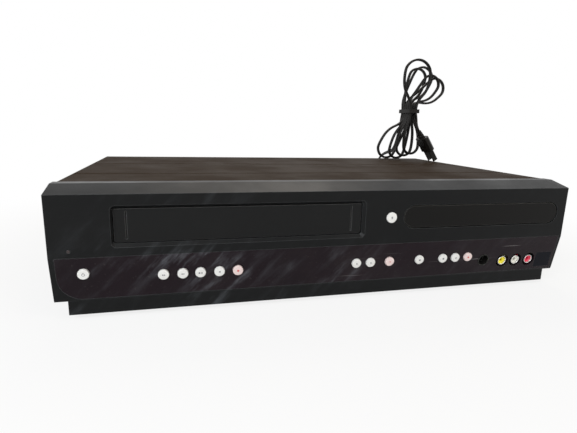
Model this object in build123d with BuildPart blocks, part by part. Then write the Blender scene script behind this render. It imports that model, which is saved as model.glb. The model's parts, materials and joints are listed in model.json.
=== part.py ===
"""A full-width player for discs and video cassettes, as the separate pieces it comes apart into.

Millimetres. X runs to the right as seen from the front, Y towards the back and Z up. The origin is on
the table, under the middle of the cabinet. "Depth" in a name is measured back from the upper front face.
"""

import math
import os

from build123d import *

os.makedirs("parts", exist_ok=True)

# ---------------------------------------------------------------- cabinet
left_end = 42.9  # left end of the panel to the cassette throat
throat_width = 190.2
middle_gap = 36.6  # throat to disc tray
tray_mouth_width = 157.0
right_end = 8.3  # disc tray to the right end of the panel
skirt_bottom = 4.4
strip_foot = 16.5
strip_rise = 32.7
sill = 9.1  # glossy strip to throat
throat_height = 26.3
lintel = 9.8  # throat to the foot of the sloped edge
slope_rise = 5.1
slope_depth = 20.0  # how far back the sloped top edge reaches
panel_depth = 29.5  # upper front face to the front edge of the cover
deck_front = 22.0  # front edge of the tape deck
deck_length = 228.0
back_room = 13.0  # tape deck to the back edge of the cover
foot_height = 6.0
foot_radius = 14.0
foot_taper = 14.0
foot_peg = 3.5
foot_in = 42.5  # middle of a foot in from the end of the panel
foot_from_front, foot_from_back = 48.0, 34.0
cover_inset = 1.0  # at each end of the panel
cover_wall = 1.0
cover_corner = 2.5
cover_foot = 7.5  # height of the cover's lower edges over the table
groove_depths = (80.0, 168.5)
groove_width = 3.0
groove_sink = 0.7
side_vents, side_vent_pitch, side_vent_width, side_vent_height = 8, 9.0, 2.6, 40.0
side_vent_in, side_vent_z = 92.0, 50.0
bottom_vents, bottom_vent_pitch, bottom_vent_width, bottom_vent_length = 5, 22.0, 4.0, 40.0
bottom_vent_rows = 60.0
sheet_gap = 0.3  # between the cover and the sheet metal inside it
pan_wall = 1.0
pan_flange = 14.0
rear_wall = 1.0
rear_inset = 1.5  # rear panel in from the cover's back edge
socket_reach = 8.5  # rearmost sockets out of the rear panel
screw_radius = 1.45
screw_head_radius = 3.0
screw_head = 0.9
screw_in = 40.0  # screws in from the front and back edges of the cover
fit_gap = 0.05  # round a pin, screw or shaft

# ---------------------------------------------------------------- front panel
panel_wall = 2.6
strip_lean = 5.5  # foot of the strip behind its top edge
strip_wall = 2.6
strip_left_in, strip_right_in = 3.8, 2.5
strip_corner = 17.0
strip_gap = 0.15
skirt_step = 1.3  # foot of the strip over the top of the skirt
skirt_depth = 6.0
skirt_in = 9.0  # ends of the skirt in from the ends of the panel

# ---------------------------------------------------------------- cassette door
throat_corner = 1.2
mouth_left = 1.2  # how far the mouth's chamfer spreads past the throat on each side
mouth_right = 2.6
mouth_foot = 2.6
mouth_head = 1.6
mouth_depth = 2.0
throat_length = 14.0
cheek_wall = 2.6
door_gap = 0.45
door_depth = 3.0
door_wall = 2.4
door_pivot_radius = 1.5
door_pivot_depth = 5.6
door_pivot_rise = 1.7  # over the throat's ceiling
door_lug_radius = 2.3
door_lug_wall = 4.0
door_groove_in, door_groove_width = 9.0, 1.1

# ---------------------------------------------------------------- disc tray
tray_sill = 12.4  # glossy strip to the tray's mouth
tray_mouth_height = 20.2
tray_front_gap = 0.4
tray_front_depth = 0.3
tray_front_wall = 5.5
tray_side = 13.0  # edge of the tray in from the side of its mouth
tray_length = 166.0
tray_wall = 7.5
tray_rise = 5.0  # underside of the tray over the mouth's lower edge
disc_depth = 80.0  # middle of the disc behind the front face
disc_radius = 60.8
disc_sink = 3.0
small_disc_radius = 41.0
small_disc_sink = 1.2
tray_slot = 46.0
slide_gap = 0.1
tray_travel = 140.0

# ---------------------------------------------------------------- buttons, from the nearer end of the panel
cap_radius = 4.0
tray_cap_radius = 4.5
cap_sides = 12
cap_gap = 0.35
cap_proud = 1.6
tray_cap_proud = 1.0
cap_chamfer = 0.6
button_travel = 0.8
stop_wall = 1.0
stop_reach = 1.2
stem_side = 3.0
switch_height = 3.5
switch_side = 6.0
board_wall = 1.6
board_margin = 6.0  # front board in from the strip's ends
board_gap = 6.5  # from the panel's inner face to the front board

standby_in, standby_drop = 21.6, 12.2
tape_button_in = (76.3, 90.3, 103.4, 117.7, 131.9)
channel_button_in = (204.2, 191.5)
dubbing_button_in = 174.0
source_button_in = 145.6
disc_button_in = (122.5, 110.0, 97.2)
button_row_drop = 16.1  # under the strip's top edge
tray_button_in = 11.0  # left of the tray's mouth
tray_board_width, tray_board_height = 16.0, 20.0

# ---------------------------------------------------------------- front sockets
phono_in = (58.4, 44.1, 29.6)
phono_rise = 10.3  # over the strip's foot
phono_shell_radius = 4.15
phono_root_radius = 4.0  # shell inside its collar
phono_shell_wall = 0.5
phono_recess_radius = 6.6
phono_collar_gap = 0.2
phono_pin_hole = 1.7
phono_foot = 1.0  # shell's root in front of the board
insert_sink = 1.1  # coloured insert behind its shell's rim
phono_barrel = 7.2  # free length of each socket's barrel
phono_sink = 0.3  # barrel's end behind the strip's face
round_socket_in, round_socket_rise = 79.4, 12.2
round_socket_radius = 5.6
round_socket_bore = 4.8
round_socket_deep = 6.0
round_socket_proud = 0.4
round_sides = 12
slot_end_sides = 8  # facets round each end of the disc tray's mouth
window_in, window_width = 2.0, 17.5
window_rise, window_height = 1.7, 15.2
window_wall = 1.4
lens_in, lens_rise, lens_radius = 13.5, 5.1, 1.2
lens_proud = 0.3
display_in, display_width = 147.5, 75.0
display_rise, display_height = 7.5, 18.0
display_gap = 1.0  # to the sides of its opening in the panel

# ---------------------------------------------------------------- tape deck
deck_rim = 10.9  # edge of the deck outside the throat
deck_top = 29.0
deck_wall = 2.0
leg_side = 7.0
leg_in = 6.0
holder_side_gap = 0.1
holder_head_gap = 0.3
holder_wall = 1.2
holder_front, holder_length = 38.0, 60.0
holder_ledge = 22.0
holder_window_width, holder_window_length, holder_window_pitch = 48.0, 36.0, 64.0
holder_pin_radius = 2.0
holder_pin_in = 12.0
holder_in, holder_down = 30.0, 20.0
guide_gap = 0.3
guide_wall = 1.5
guide_rise = 11.6  # over the pins
guide_front, guide_back = 6.0, 14.0  # in front of the holder, and behind its rear pins' way
reel_spacing = 92.0
reel_behind = 14.0  # middle of the reel tables behind the holder
reel_radius = 19.0
reel_wall = 3.0
reel_height = 12.0
reel_hub_radius = 11.0
reel_hub = 9.0
round_parts_sides = 16  # sides of the larger round parts
small_parts_sides = 12
reel_post_radius = 1.5
drum_radius = 31.0
drum_in = 40.0  # in from the deck's back edge
drum_tilt = 5.97
drum_low, drum_high = 15.0, 16.0
drum_shaft_radius = 3.0
drum_chamfer = 1.5
capstan_radius = 2.0
capstan_x, capstan_in = 62.0, 58.0
capstan_bearing = 4.8
capstan_rise = 24.0
flywheel_radius = 22.0
flywheel_wall = 6.0
flywheel_drop = 3.0
boss_radius = 5.0  # round the capstan and under the reel tables
reel_boss = 2.0
reel_post = 14.0
pinch_radius = 7.0
pinch_height = 14.0
pinch_arm_length = 34.0
pinch_arm_width = 7.6
pinch_arm_corner = 3.0
pinch_arm_wall = 5.0
pinch_post_radius = 2.0
pinch_pin_radius = 1.5
pinch_pivot_right, pinch_pivot_front = 6.0, 8.0
pinch_lead = 14.0  # roller right of its arm's pivot
pinch_post, pinch_pin = 14.0, 17.0

# ---------------------------------------------------------------- disc drive
drive_wall = 2.0
drive_front, drive_length = 20.0, 172.0
drive_floor = 44.0
drive_drop = 11.5  # its bridge under the cover's top
ledge_width = 5.0
ledge_wall = 2.0
ledge_back = 2.0  # ledge narrower than the hold-downs over the tray
drive_leg_in = 4.0
hold_down_depths = (24.0, 100.0, 160.0)
hold_down_length = 8.0
gear_teeth = 16
gear_module = 1.0
gear_depth = 26.0
gear_backlash = 0.22
gear_wall = 4.0
gear_post_radius = 1.5
gear_boss_radius = 4.0
rack_in = 10.0  # pitch line of the rack in from the tray's edge
rack_back = 6.0  # back of the rack from its pitch line
turntable_radius = 17.0
turntable_hub = 7.4
turntable_rise = 2.4
traverse_width = 92.0
traverse_wall = 3.0
traverse_drop = 6.6  # under the tray
traverse_front, traverse_length = 52.0, 130.0
rod_radius = 1.5
rod_drop = 5.5
rod_spacing = 50.0
sled_length = 26.0
sled_behind = 3.0  # sled's front end behind the turntable
sled_travel = 34.0
clamp_radius = 14.0
clamp_rim = 2.0
clamp_wall = 1.6
clamp_lift = 3.0  # over the tray
bridge_length = 52.0
spindle_boss_radius = 4.0
spindle_boss = 1.0
spindle_bore, spindle_reach = 8.0, 5.0
motor_radius, motor_behind, motor_drop = 10.0, 6.0, 8.0
rod_block_width, rod_block_length = 8.0, 4.0
ear_gap = 0.75  # traverse to the ears of its pivots
ear_wall, ear_side, ear_head = 2.5, 8.0, 4.0
sled_margin, sled_height = 4.0, 8.0  # sled outside its rods
lens_block_width, lens_block_length, lens_block_height = 22.0, 14.0, 3.0
pickup_lens_radius, pickup_lens_height = 3.0, 1.2
bridge_wall = 2.0

# ---------------------------------------------------------------- boards and the back
board_height = 15.0
post_side = 5.0
board_from_pan, board_from_deck = 11.2, 19.5
main_board_front, main_board_length = 33.0, 106.0
post_in = 6.0
# what stands on the boards, each place from the middle of its board
chip_places = ((-15.0, 4.0), (25.0, -2.0))
chip_side, chip_wall = 28.0, 2.0
memory_places = ((-45.0, -16.0), (-45.0, 14.0))
memory_width, memory_length = 14.0, 20.0
capacitors = ((25.0, 9.0), (47.0, 6.0))  # place to the right, radius
capacitor_height = 26.0
transformer_right, transformer_lift = -7.0, 4.0
transformer_width, transformer_length, transformer_height = 24.0, 30.0, 20.0
sink_right, sink_width, sink_length, sink_height, sink_fins = -35.0, 14.0, 40.0, 26.0, 6
power_board_gap = 6.0  # behind the disc drive
power_board_in = 8.0  # in front of the rear panel
fan_side, fan_wall = 50.0, 12.0
fan_drop = 7.2  # under the rear panel's top edge
fan_from_relief = 103.0
fan_hub_radius = 9.0
fan_rim, fan_spokes = 2.0, 2.0
fan_post_radius = 1.5
fan_blade, fan_blade_middle = 14.0, 15.0
fan_blades = 7
fan_slots, fan_slot_pitch, fan_slot_width, fan_slot_height = 7, 6.0, 40.0, 3.0
relief_in, relief_z = 37.2, 44.0
relief_hole = 5.0
relief_length = 24.0
relief_rim = 1.5
relief_wall, relief_flange = 2.0, 3.0
relief_sides = 12
relief_steps = 4
antenna_in = 23.2
antenna_z = (38.0, 66.0)
antenna_radius = 4.75
antenna_bore_radius, antenna_bore = 1.0, 8.0
antenna_block_side, antenna_block = 18.0, 14.0
socket_block = 10.0
flange_rim = 0.75  # round the foot of each rear socket
flange_proud = 0.2  # out of the rear panel
flange_sides = 8
rear_phono_from_antenna, rear_phono_pitch, rear_phono_columns = 40.0, 16.0, 3
rear_phono_z = (42.0, 62.0)
rear_phono_reach = 7.5
hdmi_from_phono, hdmi_z, hdmi_width, hdmi_height = 60.0, 44.0, 15.0, 5.6
hdmi_wall = 0.5
hdmi_proud = 0.3
hdmi_depth = 10.0

# ---------------------------------------------------------------- mains lead
lead_radius = 2.2
lead_sides = 4
lead_rows = 5
lead_row_pitch = 5.3
lead_column = 3.6  # half the distance between the two columns at the waist
waist_from_relief, waist_rise = 6.5, 66.9  # middle of the hank's waist, over the cover
waist_in = 23.0  # in from the cover's back edge
# lean to the right in degrees, reach and width of each loop above the waist, from the back row forwards
upper_loops = (
    (26.0, 66.0, 30.0),
    (14.0, 59.0, 26.0),
    (49.0, 62.0, 27.0),
    (36.0, 57.0, 25.0),
    (3.0, 67.0, 39.0),
)
# lean, height over the cover and width of each loop below the waist
lower_loops = ((-27.0, 0.3, 29.0), (-14.0, 0.3, 25.0), (-6.0, 4.0, 25.0), (3.0, 7.0, 25.0))
tie_gap, tie_wall, tie_height = 0.7, 1.0, 5.0
plug_lean = 34.0
plug_right = 2.7  # where the lead enters the plug's relief, right of the waist
plug_front = 14.5  # middle of the plug in front of the hank's front row
plug_relief, plug_steps, plug_body = 10.0, 3, 20.0
plug_width, plug_thickness, plug_corner = 22.0, 10.0, 3.0
blade_length, blade_width, blade_wall, blade_spacing = 16.0, 6.3, 1.5, 12.7

# ================================================================ worked out from the sizes above
panel_width = left_end + throat_width + middle_gap + tray_mouth_width + right_end
left_x, right_x = -panel_width / 2, panel_width / 2
strip_top = strip_foot + strip_rise
throat_foot = strip_top + sill
throat_head = throat_foot + throat_height
slope_foot = throat_head + lintel
top_height = slope_foot + slope_rise
skirt_top = strip_foot - skirt_step
deck_back = deck_front + deck_length
body_depth = deck_back + back_room
depth = tray_cap_proud + body_depth - rear_inset + relief_length
face_y = -depth / 2 + tray_cap_proud
cover_y = face_y + panel_depth
back_y = face_y + body_depth
rear_y = back_y - rear_inset  # outer face of the rear panel
inside_y = rear_y - rear_wall
cover_half = panel_width / 2 - cover_inset
pan_half = cover_half - cover_wall - sheet_gap
floor_z = foot_height + pan_wall
board_top = board_height + board_wall
rear_foot = floor_z
rear_head = top_height - cover_wall - sheet_gap

strip_left, strip_right = left_x + strip_left_in, right_x - strip_right_in
strip_angle = math.atan2(strip_lean, strip_rise)
strip_length = math.hypot(strip_lean, strip_rise)
strip_plane = Plane(
    origin=(0, face_y, strip_top),
    x_dir=(1, 0, 0),
    z_dir=(0, -math.cos(strip_angle), -math.sin(strip_angle)),
)
strip_back = strip_wall + panel_wall  # strip face to the panel's inner face
board_back = strip_back + board_gap

throat_left = left_x + left_end
throat_right = throat_left + throat_width
throat_x = (throat_left + throat_right) / 2
throat_z = (throat_foot + throat_head) / 2
door_pivot_y = face_y + door_pivot_depth
door_pivot_z = throat_head + door_pivot_rise
tray_mouth_right = right_x - right_end
tray_mouth_left = tray_mouth_right - tray_mouth_width
tray_mouth_foot = strip_top + tray_sill
tray_x = (tray_mouth_left + tray_mouth_right) / 2
tray_z = tray_mouth_foot + tray_mouth_height / 2
tray_width = tray_mouth_width - 2 * tray_side
tray_foot = tray_mouth_foot + tray_rise
tray_top = tray_foot + tray_wall
disc_y = face_y + disc_depth

button_row_z = strip_top - button_row_drop
standby_x, standby_z = left_x + standby_in, strip_top - standby_drop
tape_button_x = [left_x + x for x in tape_button_in]
channel_button_x = [right_x - x for x in channel_button_in]
dubbing_button_x = right_x - dubbing_button_in
source_button_x = right_x - source_button_in
disc_button_x = [right_x - x for x in disc_button_in]
tray_button_x, tray_button_z = tray_mouth_left - tray_button_in, tray_z
phono_x = [right_x - x for x in phono_in]
phono_z = strip_foot + phono_rise
round_socket_x, round_socket_z = right_x - round_socket_in, strip_foot + round_socket_rise
window_right = strip_right - window_in
window_left = window_right - window_width
window_foot = strip_foot + window_rise
window_head = window_foot + window_height
lens_x, lens_z = left_x + lens_in, strip_top + lens_rise
display_left = left_x + display_in
display_right = display_left + display_width
display_foot = strip_foot + display_rise
display_head = display_foot + display_height

deck_width = throat_width + 2 * deck_rim
deck_x, deck_mid_y = throat_x, face_y + (deck_front + deck_back) / 2
holder_inside = throat_width + 2 * holder_side_gap
holder_height = throat_height + holder_head_gap
holder_back = holder_front + holder_length
holder_pin_depths = (holder_front + holder_pin_in, holder_back - holder_pin_in)
reel_depth = holder_back + reel_behind
drum_depth = deck_back - drum_in
capstan_depth = deck_back - capstan_in
drive_back = drive_front + drive_length
drive_head = top_height - drive_drop
traverse_back = traverse_front + traverse_length
traverse_top = tray_foot - traverse_drop

board_left = throat_x + deck_width / 2 + board_from_deck
board_right = pan_half - board_from_pan
board_x = (board_left + board_right) / 2
power_front, power_back = face_y + drive_back + power_board_gap, rear_y - power_board_in
power_y = (power_front + power_back) / 2
relief_x = pan_half - relief_in
fan_x = relief_x - fan_from_relief
fan_z = rear_head - fan_drop - fan_side / 2
antenna_x = -pan_half + antenna_in
first_phono_x = antenna_x + rear_phono_from_antenna
rear_phono_x = [first_phono_x + i * rear_phono_pitch for i in range(rear_phono_columns)]
hdmi_x = rear_phono_x[-1] + hdmi_from_phono
waist_x, waist_z = relief_x + waist_from_relief, top_height + waist_rise


def front(back_from_face):
    """A plane parallel to the upper front face: its x is X and its y is Z. Extruding back is negative."""
    return Plane(origin=(0, face_y + back_from_face, 0), x_dir=(1, 0, 0), z_dir=(0, -1, 0))


def level(z):
    """A horizontal plane at height z: its x is X and its y is Y."""
    return Plane.XY.offset(z)


def side_wall(side, half):
    """The outer plane of a side wall, side -1 on the left, 1 on the right: its x is side * Y, its y is Z."""
    return Plane(origin=(side * half, 0, 0), x_dir=(0, side, 0), z_dir=(side, 0, 0))


def on_strip(z):
    """Place along the strip, from its top edge, of a feature at height z on its face."""
    return (z - strip_top) / math.cos(strip_angle)


def cut_corners(width, height, corner):
    """A rectangle with its corners cut off, drawn in the open sketch."""
    x, y = width / 2, height / 2
    Polygon(
        (corner - x, -y),
        (x - corner, -y),
        (x, corner - y),
        (x, y - corner),
        (x - corner, y),
        (corner - x, y),
        (-x, y - corner),
        (-x, corner - y),
    )


def stadium(width, height):
    """A slot's outline with faceted ends, drawn in the open sketch."""
    radius = height / 2
    corners = []
    for side in (1, -1):
        for step in range(slot_end_sides + 1):
            turn = math.pi * (step / slot_end_sides - 0.5)
            out = width / 2 - radius + radius * math.cos(turn)
            corners.append((side * out, side * radius * math.sin(turn)))
    Polygon(*corners)


def finish(piece, name):
    """Names a finished piece and writes it as its own STEP file."""
    piece.part.label = name
    export_step(piece.part, f"parts/{name}.step")


# ================================================================ base pan and feet
post_x = (board_left + post_in, board_right - post_in)
main_board_y = face_y + main_board_front + main_board_length / 2
main_posts_y = [main_board_y + side * (main_board_length / 2 - post_in) for side in (-1, 1)]
board_posts = [(x, y) for x in post_x for y in main_posts_y]
power_posts = [(x, y) for x in post_x for y in (power_front + post_in / 2, power_back - post_in / 2)]
foot_places = [
    (x, y)
    for x in (left_x + foot_in, right_x - foot_in)
    for y in (face_y + foot_from_front, rear_y - foot_from_back)
]
side_screw_y = (cover_y + screw_in, back_y - screw_in)
side_screw_z = floor_z + pan_flange * 0.55
skirt_half = panel_width / 2 - skirt_in
tongue_y = face_y + skirt_depth + strip_back + sheet_gap  # front edge of the pan, inside the panel's skirt

with BuildPart() as base_pan:
    with BuildSketch(front(panel_depth)):
        with Locations((0, foot_height + (pan_flange + pan_wall) / 2)):
            Rectangle(2 * pan_half, pan_flange + pan_wall)
        with Locations((0, floor_z + pan_flange / 2)):
            Rectangle(2 * (pan_half - pan_wall), pan_flange, mode=Mode.SUBTRACT)
    extrude(amount=-(inside_y - cover_y))
    with BuildSketch(level(foot_height)):
        with Locations((0, (tongue_y + cover_y) / 2)):
            Rectangle(2 * (skirt_half - panel_wall - sheet_gap), cover_y - tongue_y)
    extrude(amount=pan_wall)
    with BuildSketch(level(floor_z)):
        with Locations(*board_posts, *power_posts):
            Rectangle(post_side, post_side)
    extrude(amount=board_height - floor_z)
    with BuildSketch(level(foot_height)):
        with Locations((throat_x, deck_mid_y)):
            with GridLocations(bottom_vent_pitch, bottom_vent_rows, bottom_vents, 2):
                Rectangle(bottom_vent_width, bottom_vent_length)
    extrude(amount=pan_wall, mode=Mode.SUBTRACT)
    with BuildSketch(level(foot_height)):
        with Locations(*foot_places):
            RegularPolygon(foot_peg + fit_gap, 6)
    extrude(amount=pan_wall, mode=Mode.SUBTRACT)
    for side in (-1, 1):
        with BuildSketch(side_wall(side, pan_half)):
            with Locations(*[(side * y, side_screw_z) for y in side_screw_y]):
                RegularPolygon(screw_radius + fit_gap, 6)
        extrude(amount=-pan_wall, mode=Mode.SUBTRACT)
finish(base_pan, "base_pan")

with BuildPart() as feet:
    with BuildSketch(level(foot_height)):
        with Locations(*foot_places):
            RegularPolygon(foot_radius, 12)
    extrude(amount=-foot_height, taper=foot_taper)
    with BuildSketch(level(foot_height)):
        with Locations(*foot_places):
            RegularPolygon(foot_peg, 6)
    extrude(amount=pan_wall)
finish(feet, "feet")

# ================================================================ cover and its screws
with BuildPart() as top_cover:
    with BuildSketch(front(panel_depth)) as cover_section:
        with Locations((0, (top_height + cover_foot) / 2)):
            Rectangle(2 * cover_half, top_height - cover_foot)
        fillet(cover_section.vertices().group_by(Axis.Y)[-1], cover_corner)
        with Locations((0, (top_height - cover_wall + cover_foot) / 2)):
            Rectangle(
                2 * (cover_half - cover_wall),
                top_height - cover_wall - cover_foot,
                mode=Mode.SUBTRACT,
            )
    extrude(amount=-(body_depth - panel_depth))
    with BuildSketch(Plane.YZ.offset(-cover_half + cover_corner)):
        with Locations(*[(face_y + d, top_height - cover_wall - groove_sink / 2) for d in groove_depths]):
            Trapezoid(groove_width + 2 * cover_wall, groove_sink, 45, rotation=180)
    extrude(amount=2 * (cover_half - cover_corner))
    with BuildSketch(Plane.YZ.offset(-cover_half)):
        with Locations(*[(face_y + d, top_height - groove_sink / 2) for d in groove_depths]):
            Trapezoid(groove_width, groove_sink, 60, rotation=180)
    extrude(amount=2 * cover_half, mode=Mode.SUBTRACT)
    for side in (-1, 1):
        with BuildSketch(side_wall(side, cover_half)):
            with Locations((side * (back_y - side_vent_in), side_vent_z)):
                with GridLocations(side_vent_pitch, 0, side_vents, 1):
                    Rectangle(side_vent_width, side_vent_height)
            with Locations(*[(side * y, side_screw_z) for y in side_screw_y]):
                RegularPolygon(screw_radius + fit_gap, 6)
        extrude(amount=-cover_wall, mode=Mode.SUBTRACT)
finish(top_cover, "top_cover")

with BuildPart() as cover_screws:
    for side in (-1, 1):
        screw_places = [(side * y, side_screw_z) for y in side_screw_y]
        with BuildSketch(side_wall(side, cover_half)):
            with Locations(*screw_places):
                RegularPolygon(screw_head_radius, 8)
        extrude(amount=screw_head)
        with BuildSketch(side_wall(side, cover_half)):
            with Locations(*screw_places):
                RegularPolygon(screw_radius, 6)
        extrude(amount=-(cover_wall + sheet_gap + pan_wall + 2.0))
finish(cover_screws, "cover_screws")

# ================================================================ front panel
strip_buttons = {
    "standby_button": (standby_x, standby_z),
    "tape_rewind_button": (tape_button_x[0], button_row_z),
    "tape_forward_button": (tape_button_x[1], button_row_z),
    "tape_eject_button": (tape_button_x[2], button_row_z),
    "tape_play_button": (tape_button_x[3], button_row_z),
    "tape_record_button": (tape_button_x[4], button_row_z),
    "channel_down_button": (channel_button_x[0], button_row_z),
    "channel_up_button": (channel_button_x[1], button_row_z),
    "dubbing_button": (dubbing_button_x, button_row_z),
    "source_button": (source_button_x, button_row_z),
    "disc_stop_button": (disc_button_x[0], button_row_z),
    "disc_play_button": (disc_button_x[1], button_row_z),
    "disc_record_button": (disc_button_x[2], button_row_z),
}
button_places = [(x, on_strip(z)) for x, z in strip_buttons.values()]
phono_places = [(x, on_strip(phono_z)) for x in phono_x]
round_socket_place = (round_socket_x, on_strip(round_socket_z))
strip_middle = ((strip_left + strip_right) / 2, -strip_length / 2)
mouth_place = (throat_x + (mouth_right - mouth_left) / 2, throat_z + (mouth_head - mouth_foot) / 2)
window_place = ((window_left + window_right) / 2, on_strip((window_foot + window_head) / 2))
display_place = ((display_left + display_right) / 2, on_strip((display_foot + display_head) / 2))


def strip_outline(grow):
    """The strip's outline on its own plane, grown by a clearance; its lower left corner is well rounded."""
    with BuildSketch(strip_plane) as outline:
        with Locations(strip_middle):
            Rectangle(strip_right - strip_left + 2 * grow, strip_length + 2 * grow)
        lower_left = outline.vertices().sort_by(Axis.X)[:2].sort_by(Axis.Y)[0]
        fillet(lower_left, strip_corner + grow)
    return outline.sketch


with BuildPart() as front_panel:
    with BuildSketch(Plane.YZ):
        with BuildLine():
            Polyline(
                (cover_y, top_height),
                (face_y + slope_depth, top_height),
                (face_y, slope_foot),
                (face_y, strip_top),
                (face_y + strip_lean, strip_foot),
                (face_y + skirt_depth, skirt_top),
                (face_y + skirt_depth, skirt_bottom),
                (cover_y, skirt_bottom),
                close=True,
            )
        make_face()
    extrude(amount=panel_width / 2, both=True)
    with BuildSketch(Plane.YZ):
        with BuildLine():
            Polyline(
                (cover_y, top_height - panel_wall),
                (face_y + slope_depth, top_height - panel_wall),
                (face_y + panel_wall, slope_foot - panel_wall / 2),
                (face_y + panel_wall, strip_top + strip_wall),
                (face_y + strip_back, strip_top - strip_wall),
                (face_y + strip_back + strip_lean, strip_foot),
                (face_y + skirt_depth + strip_back, skirt_bottom),
                (cover_y, skirt_bottom),
                close=True,
            )
        make_face()
    extrude(amount=panel_width / 2 - panel_wall, both=True, mode=Mode.SUBTRACT)
    # the skirt stops short of the panel's ends, with a wall across each of its own
    with BuildSketch(level(skirt_top)):
        for side in (-1, 1):
            with Locations((side * (skirt_half + skirt_in / 2), (face_y + cover_y) / 2)):
                Rectangle(skirt_in, panel_depth)
    extrude(amount=-(skirt_top - skirt_bottom), mode=Mode.SUBTRACT)
    with BuildSketch(level(skirt_top)):
        for side in (-1, 1):
            with Locations((side * (skirt_half - panel_wall / 2), (face_y + skirt_depth + cover_y) / 2)):
                Rectangle(panel_wall, panel_depth - skirt_depth)
    extrude(amount=-(skirt_top - skirt_bottom))
    # side guides and sill behind the cassette's throat, then the chamfered mouth and the throat itself
    with BuildSketch(front(panel_wall)):
        for x in (throat_left - cheek_wall / 2, throat_right + cheek_wall / 2):
            with Locations((x, throat_z)):
                Rectangle(cheek_wall, throat_height + 2 * (door_pivot_rise + door_lug_radius + 0.5))
        with Locations((throat_x, throat_foot - cheek_wall / 2)):
            Rectangle(throat_width, cheek_wall)
    extrude(amount=-throat_length)
    with BuildSketch(front(0)):
        with Locations(mouth_place):
            cut_corners(
                throat_width + mouth_left + mouth_right,
                throat_height + mouth_foot + mouth_head,
                throat_corner + mouth_depth / 2,
            )
    with BuildSketch(front(mouth_depth)):
        with Locations((throat_x, throat_z)):
            cut_corners(throat_width, throat_height, throat_corner)
    loft(ruled=True, mode=Mode.SUBTRACT)
    with BuildSketch(front(mouth_depth)):
        with Locations((throat_x, throat_z)):
            cut_corners(throat_width, throat_height, throat_corner)
    extrude(amount=-(panel_wall + door_depth - mouth_depth), mode=Mode.SUBTRACT)
    with BuildSketch(Plane.YZ.offset(throat_left - 2 * cheek_wall)):
        with Locations((door_pivot_y, door_pivot_z)):
            Circle(door_pivot_radius + fit_gap)
    extrude(amount=throat_width + 4 * cheek_wall, mode=Mode.SUBTRACT)
    # mouth of the disc tray
    with BuildSketch(front(0)):
        with Locations((tray_x, tray_z)):
            stadium(tray_mouth_width, tray_mouth_height)
    extrude(amount=-panel_wall * 2, mode=Mode.SUBTRACT)
    # seat of the glossy strip, with what passes through it
    extrude(strip_outline(strip_gap), amount=-strip_wall, mode=Mode.SUBTRACT)
    with BuildSketch(strip_plane):
        with Locations(*button_places):
            Rectangle(2 * (cap_radius + cap_gap), 2 * (cap_radius + cap_gap))
        with Locations(*phono_places):
            RegularPolygon(phono_recess_radius, 8, major_radius=False, rotation=22.5)
        with Locations(round_socket_place):
            RegularPolygon(round_socket_radius + fit_gap, round_sides)
        with Locations(display_place):
            Rectangle(display_width, display_height)
    extrude(amount=-strip_back * 1.4, mode=Mode.SUBTRACT)
    with BuildSketch(front(0)):
        with Locations((tray_button_x, tray_button_z)):
            RegularPolygon(tray_cap_radius + cap_gap, cap_sides)
        with Locations((lens_x, lens_z)):
            RegularPolygon(lens_radius + fit_gap, 8)
    extrude(amount=-panel_wall * 2, mode=Mode.SUBTRACT)
finish(front_panel, "front_panel")

with BuildPart() as control_strip:
    extrude(strip_outline(0), amount=-strip_wall)
    with BuildSketch(strip_plane):
        with Locations(*button_places):
            RegularPolygon(cap_radius + cap_gap, cap_sides)
        with Locations(*phono_places):
            RegularPolygon(phono_recess_radius, round_sides)
        with Locations(round_socket_place):
            RegularPolygon(round_socket_radius + fit_gap, round_sides)
    extrude(amount=-strip_wall, mode=Mode.SUBTRACT)
    with BuildSketch(strip_plane):
        with Locations(window_place):
            Rectangle(window_width, window_height)
    extrude(amount=-window_wall, mode=Mode.SUBTRACT)
finish(control_strip, "control_strip")

with BuildPart() as sensor_window:
    with BuildSketch(strip_plane.offset(-window_wall)):
        with Locations(window_place):
            Rectangle(window_width - 2 * strip_gap, window_height - 2 * strip_gap)
    extrude(amount=window_wall)
finish(sensor_window, "sensor_window")

with BuildPart() as power_lens:
    with BuildSketch(front(-lens_proud)):
        with Locations((lens_x, lens_z)):
            RegularPolygon(lens_radius, 8)
    extrude(amount=-(panel_wall + 2.0))
finish(power_lens, "power_lens")

# ================================================================ cassette door
with BuildPart() as cassette_door:
    with BuildSketch(front(door_depth)):
        with Locations((throat_x, throat_z)):
            cut_corners(
                throat_width - 2 * door_gap,
                throat_height - 2 * door_gap,
                throat_corner - door_gap / 2,
            )
    extrude(amount=-door_wall)
    top_edge = cassette_door.faces().sort_by(Axis.Y)[0].edges().sort_by(Axis.Z)[-1]
    chamfer(top_edge, 0.8)
    with BuildSketch(front(door_depth)):
        for x in (throat_left + door_groove_in, throat_right - door_groove_in):
            with Locations((x, throat_z)):
                Rectangle(door_groove_width, throat_height * 0.78)
    extrude(amount=-door_wall / 3, mode=Mode.SUBTRACT)
    for side, end_x in ((-1, throat_left), (1, throat_right)):
        lug_plane = Plane.YZ.offset(end_x - side * (door_gap + door_lug_wall / 2))
        with BuildSketch(lug_plane):
            with Locations((door_pivot_y, door_pivot_z)):
                RegularPolygon(door_lug_radius, 8)
            with BuildLine():
                Polyline(
                    (face_y + door_depth + door_wall / 2, throat_head - door_gap - door_lug_wall),
                    (door_pivot_y + door_lug_radius, throat_head - door_gap - door_lug_wall),
                    (door_pivot_y + door_lug_radius, door_pivot_z),
                    (face_y + door_depth + door_wall / 2, throat_head - door_gap - 0.6),
                    close=True,
                )
            make_face()
        extrude(amount=door_lug_wall / 2, both=True)
        with BuildSketch(lug_plane):
            with Locations((door_pivot_y, door_pivot_z)):
                Circle(door_pivot_radius)
        extrude(amount=side * (door_lug_wall / 2 + door_gap + cheek_wall))
finish(cassette_door, "cassette_door")

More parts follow.
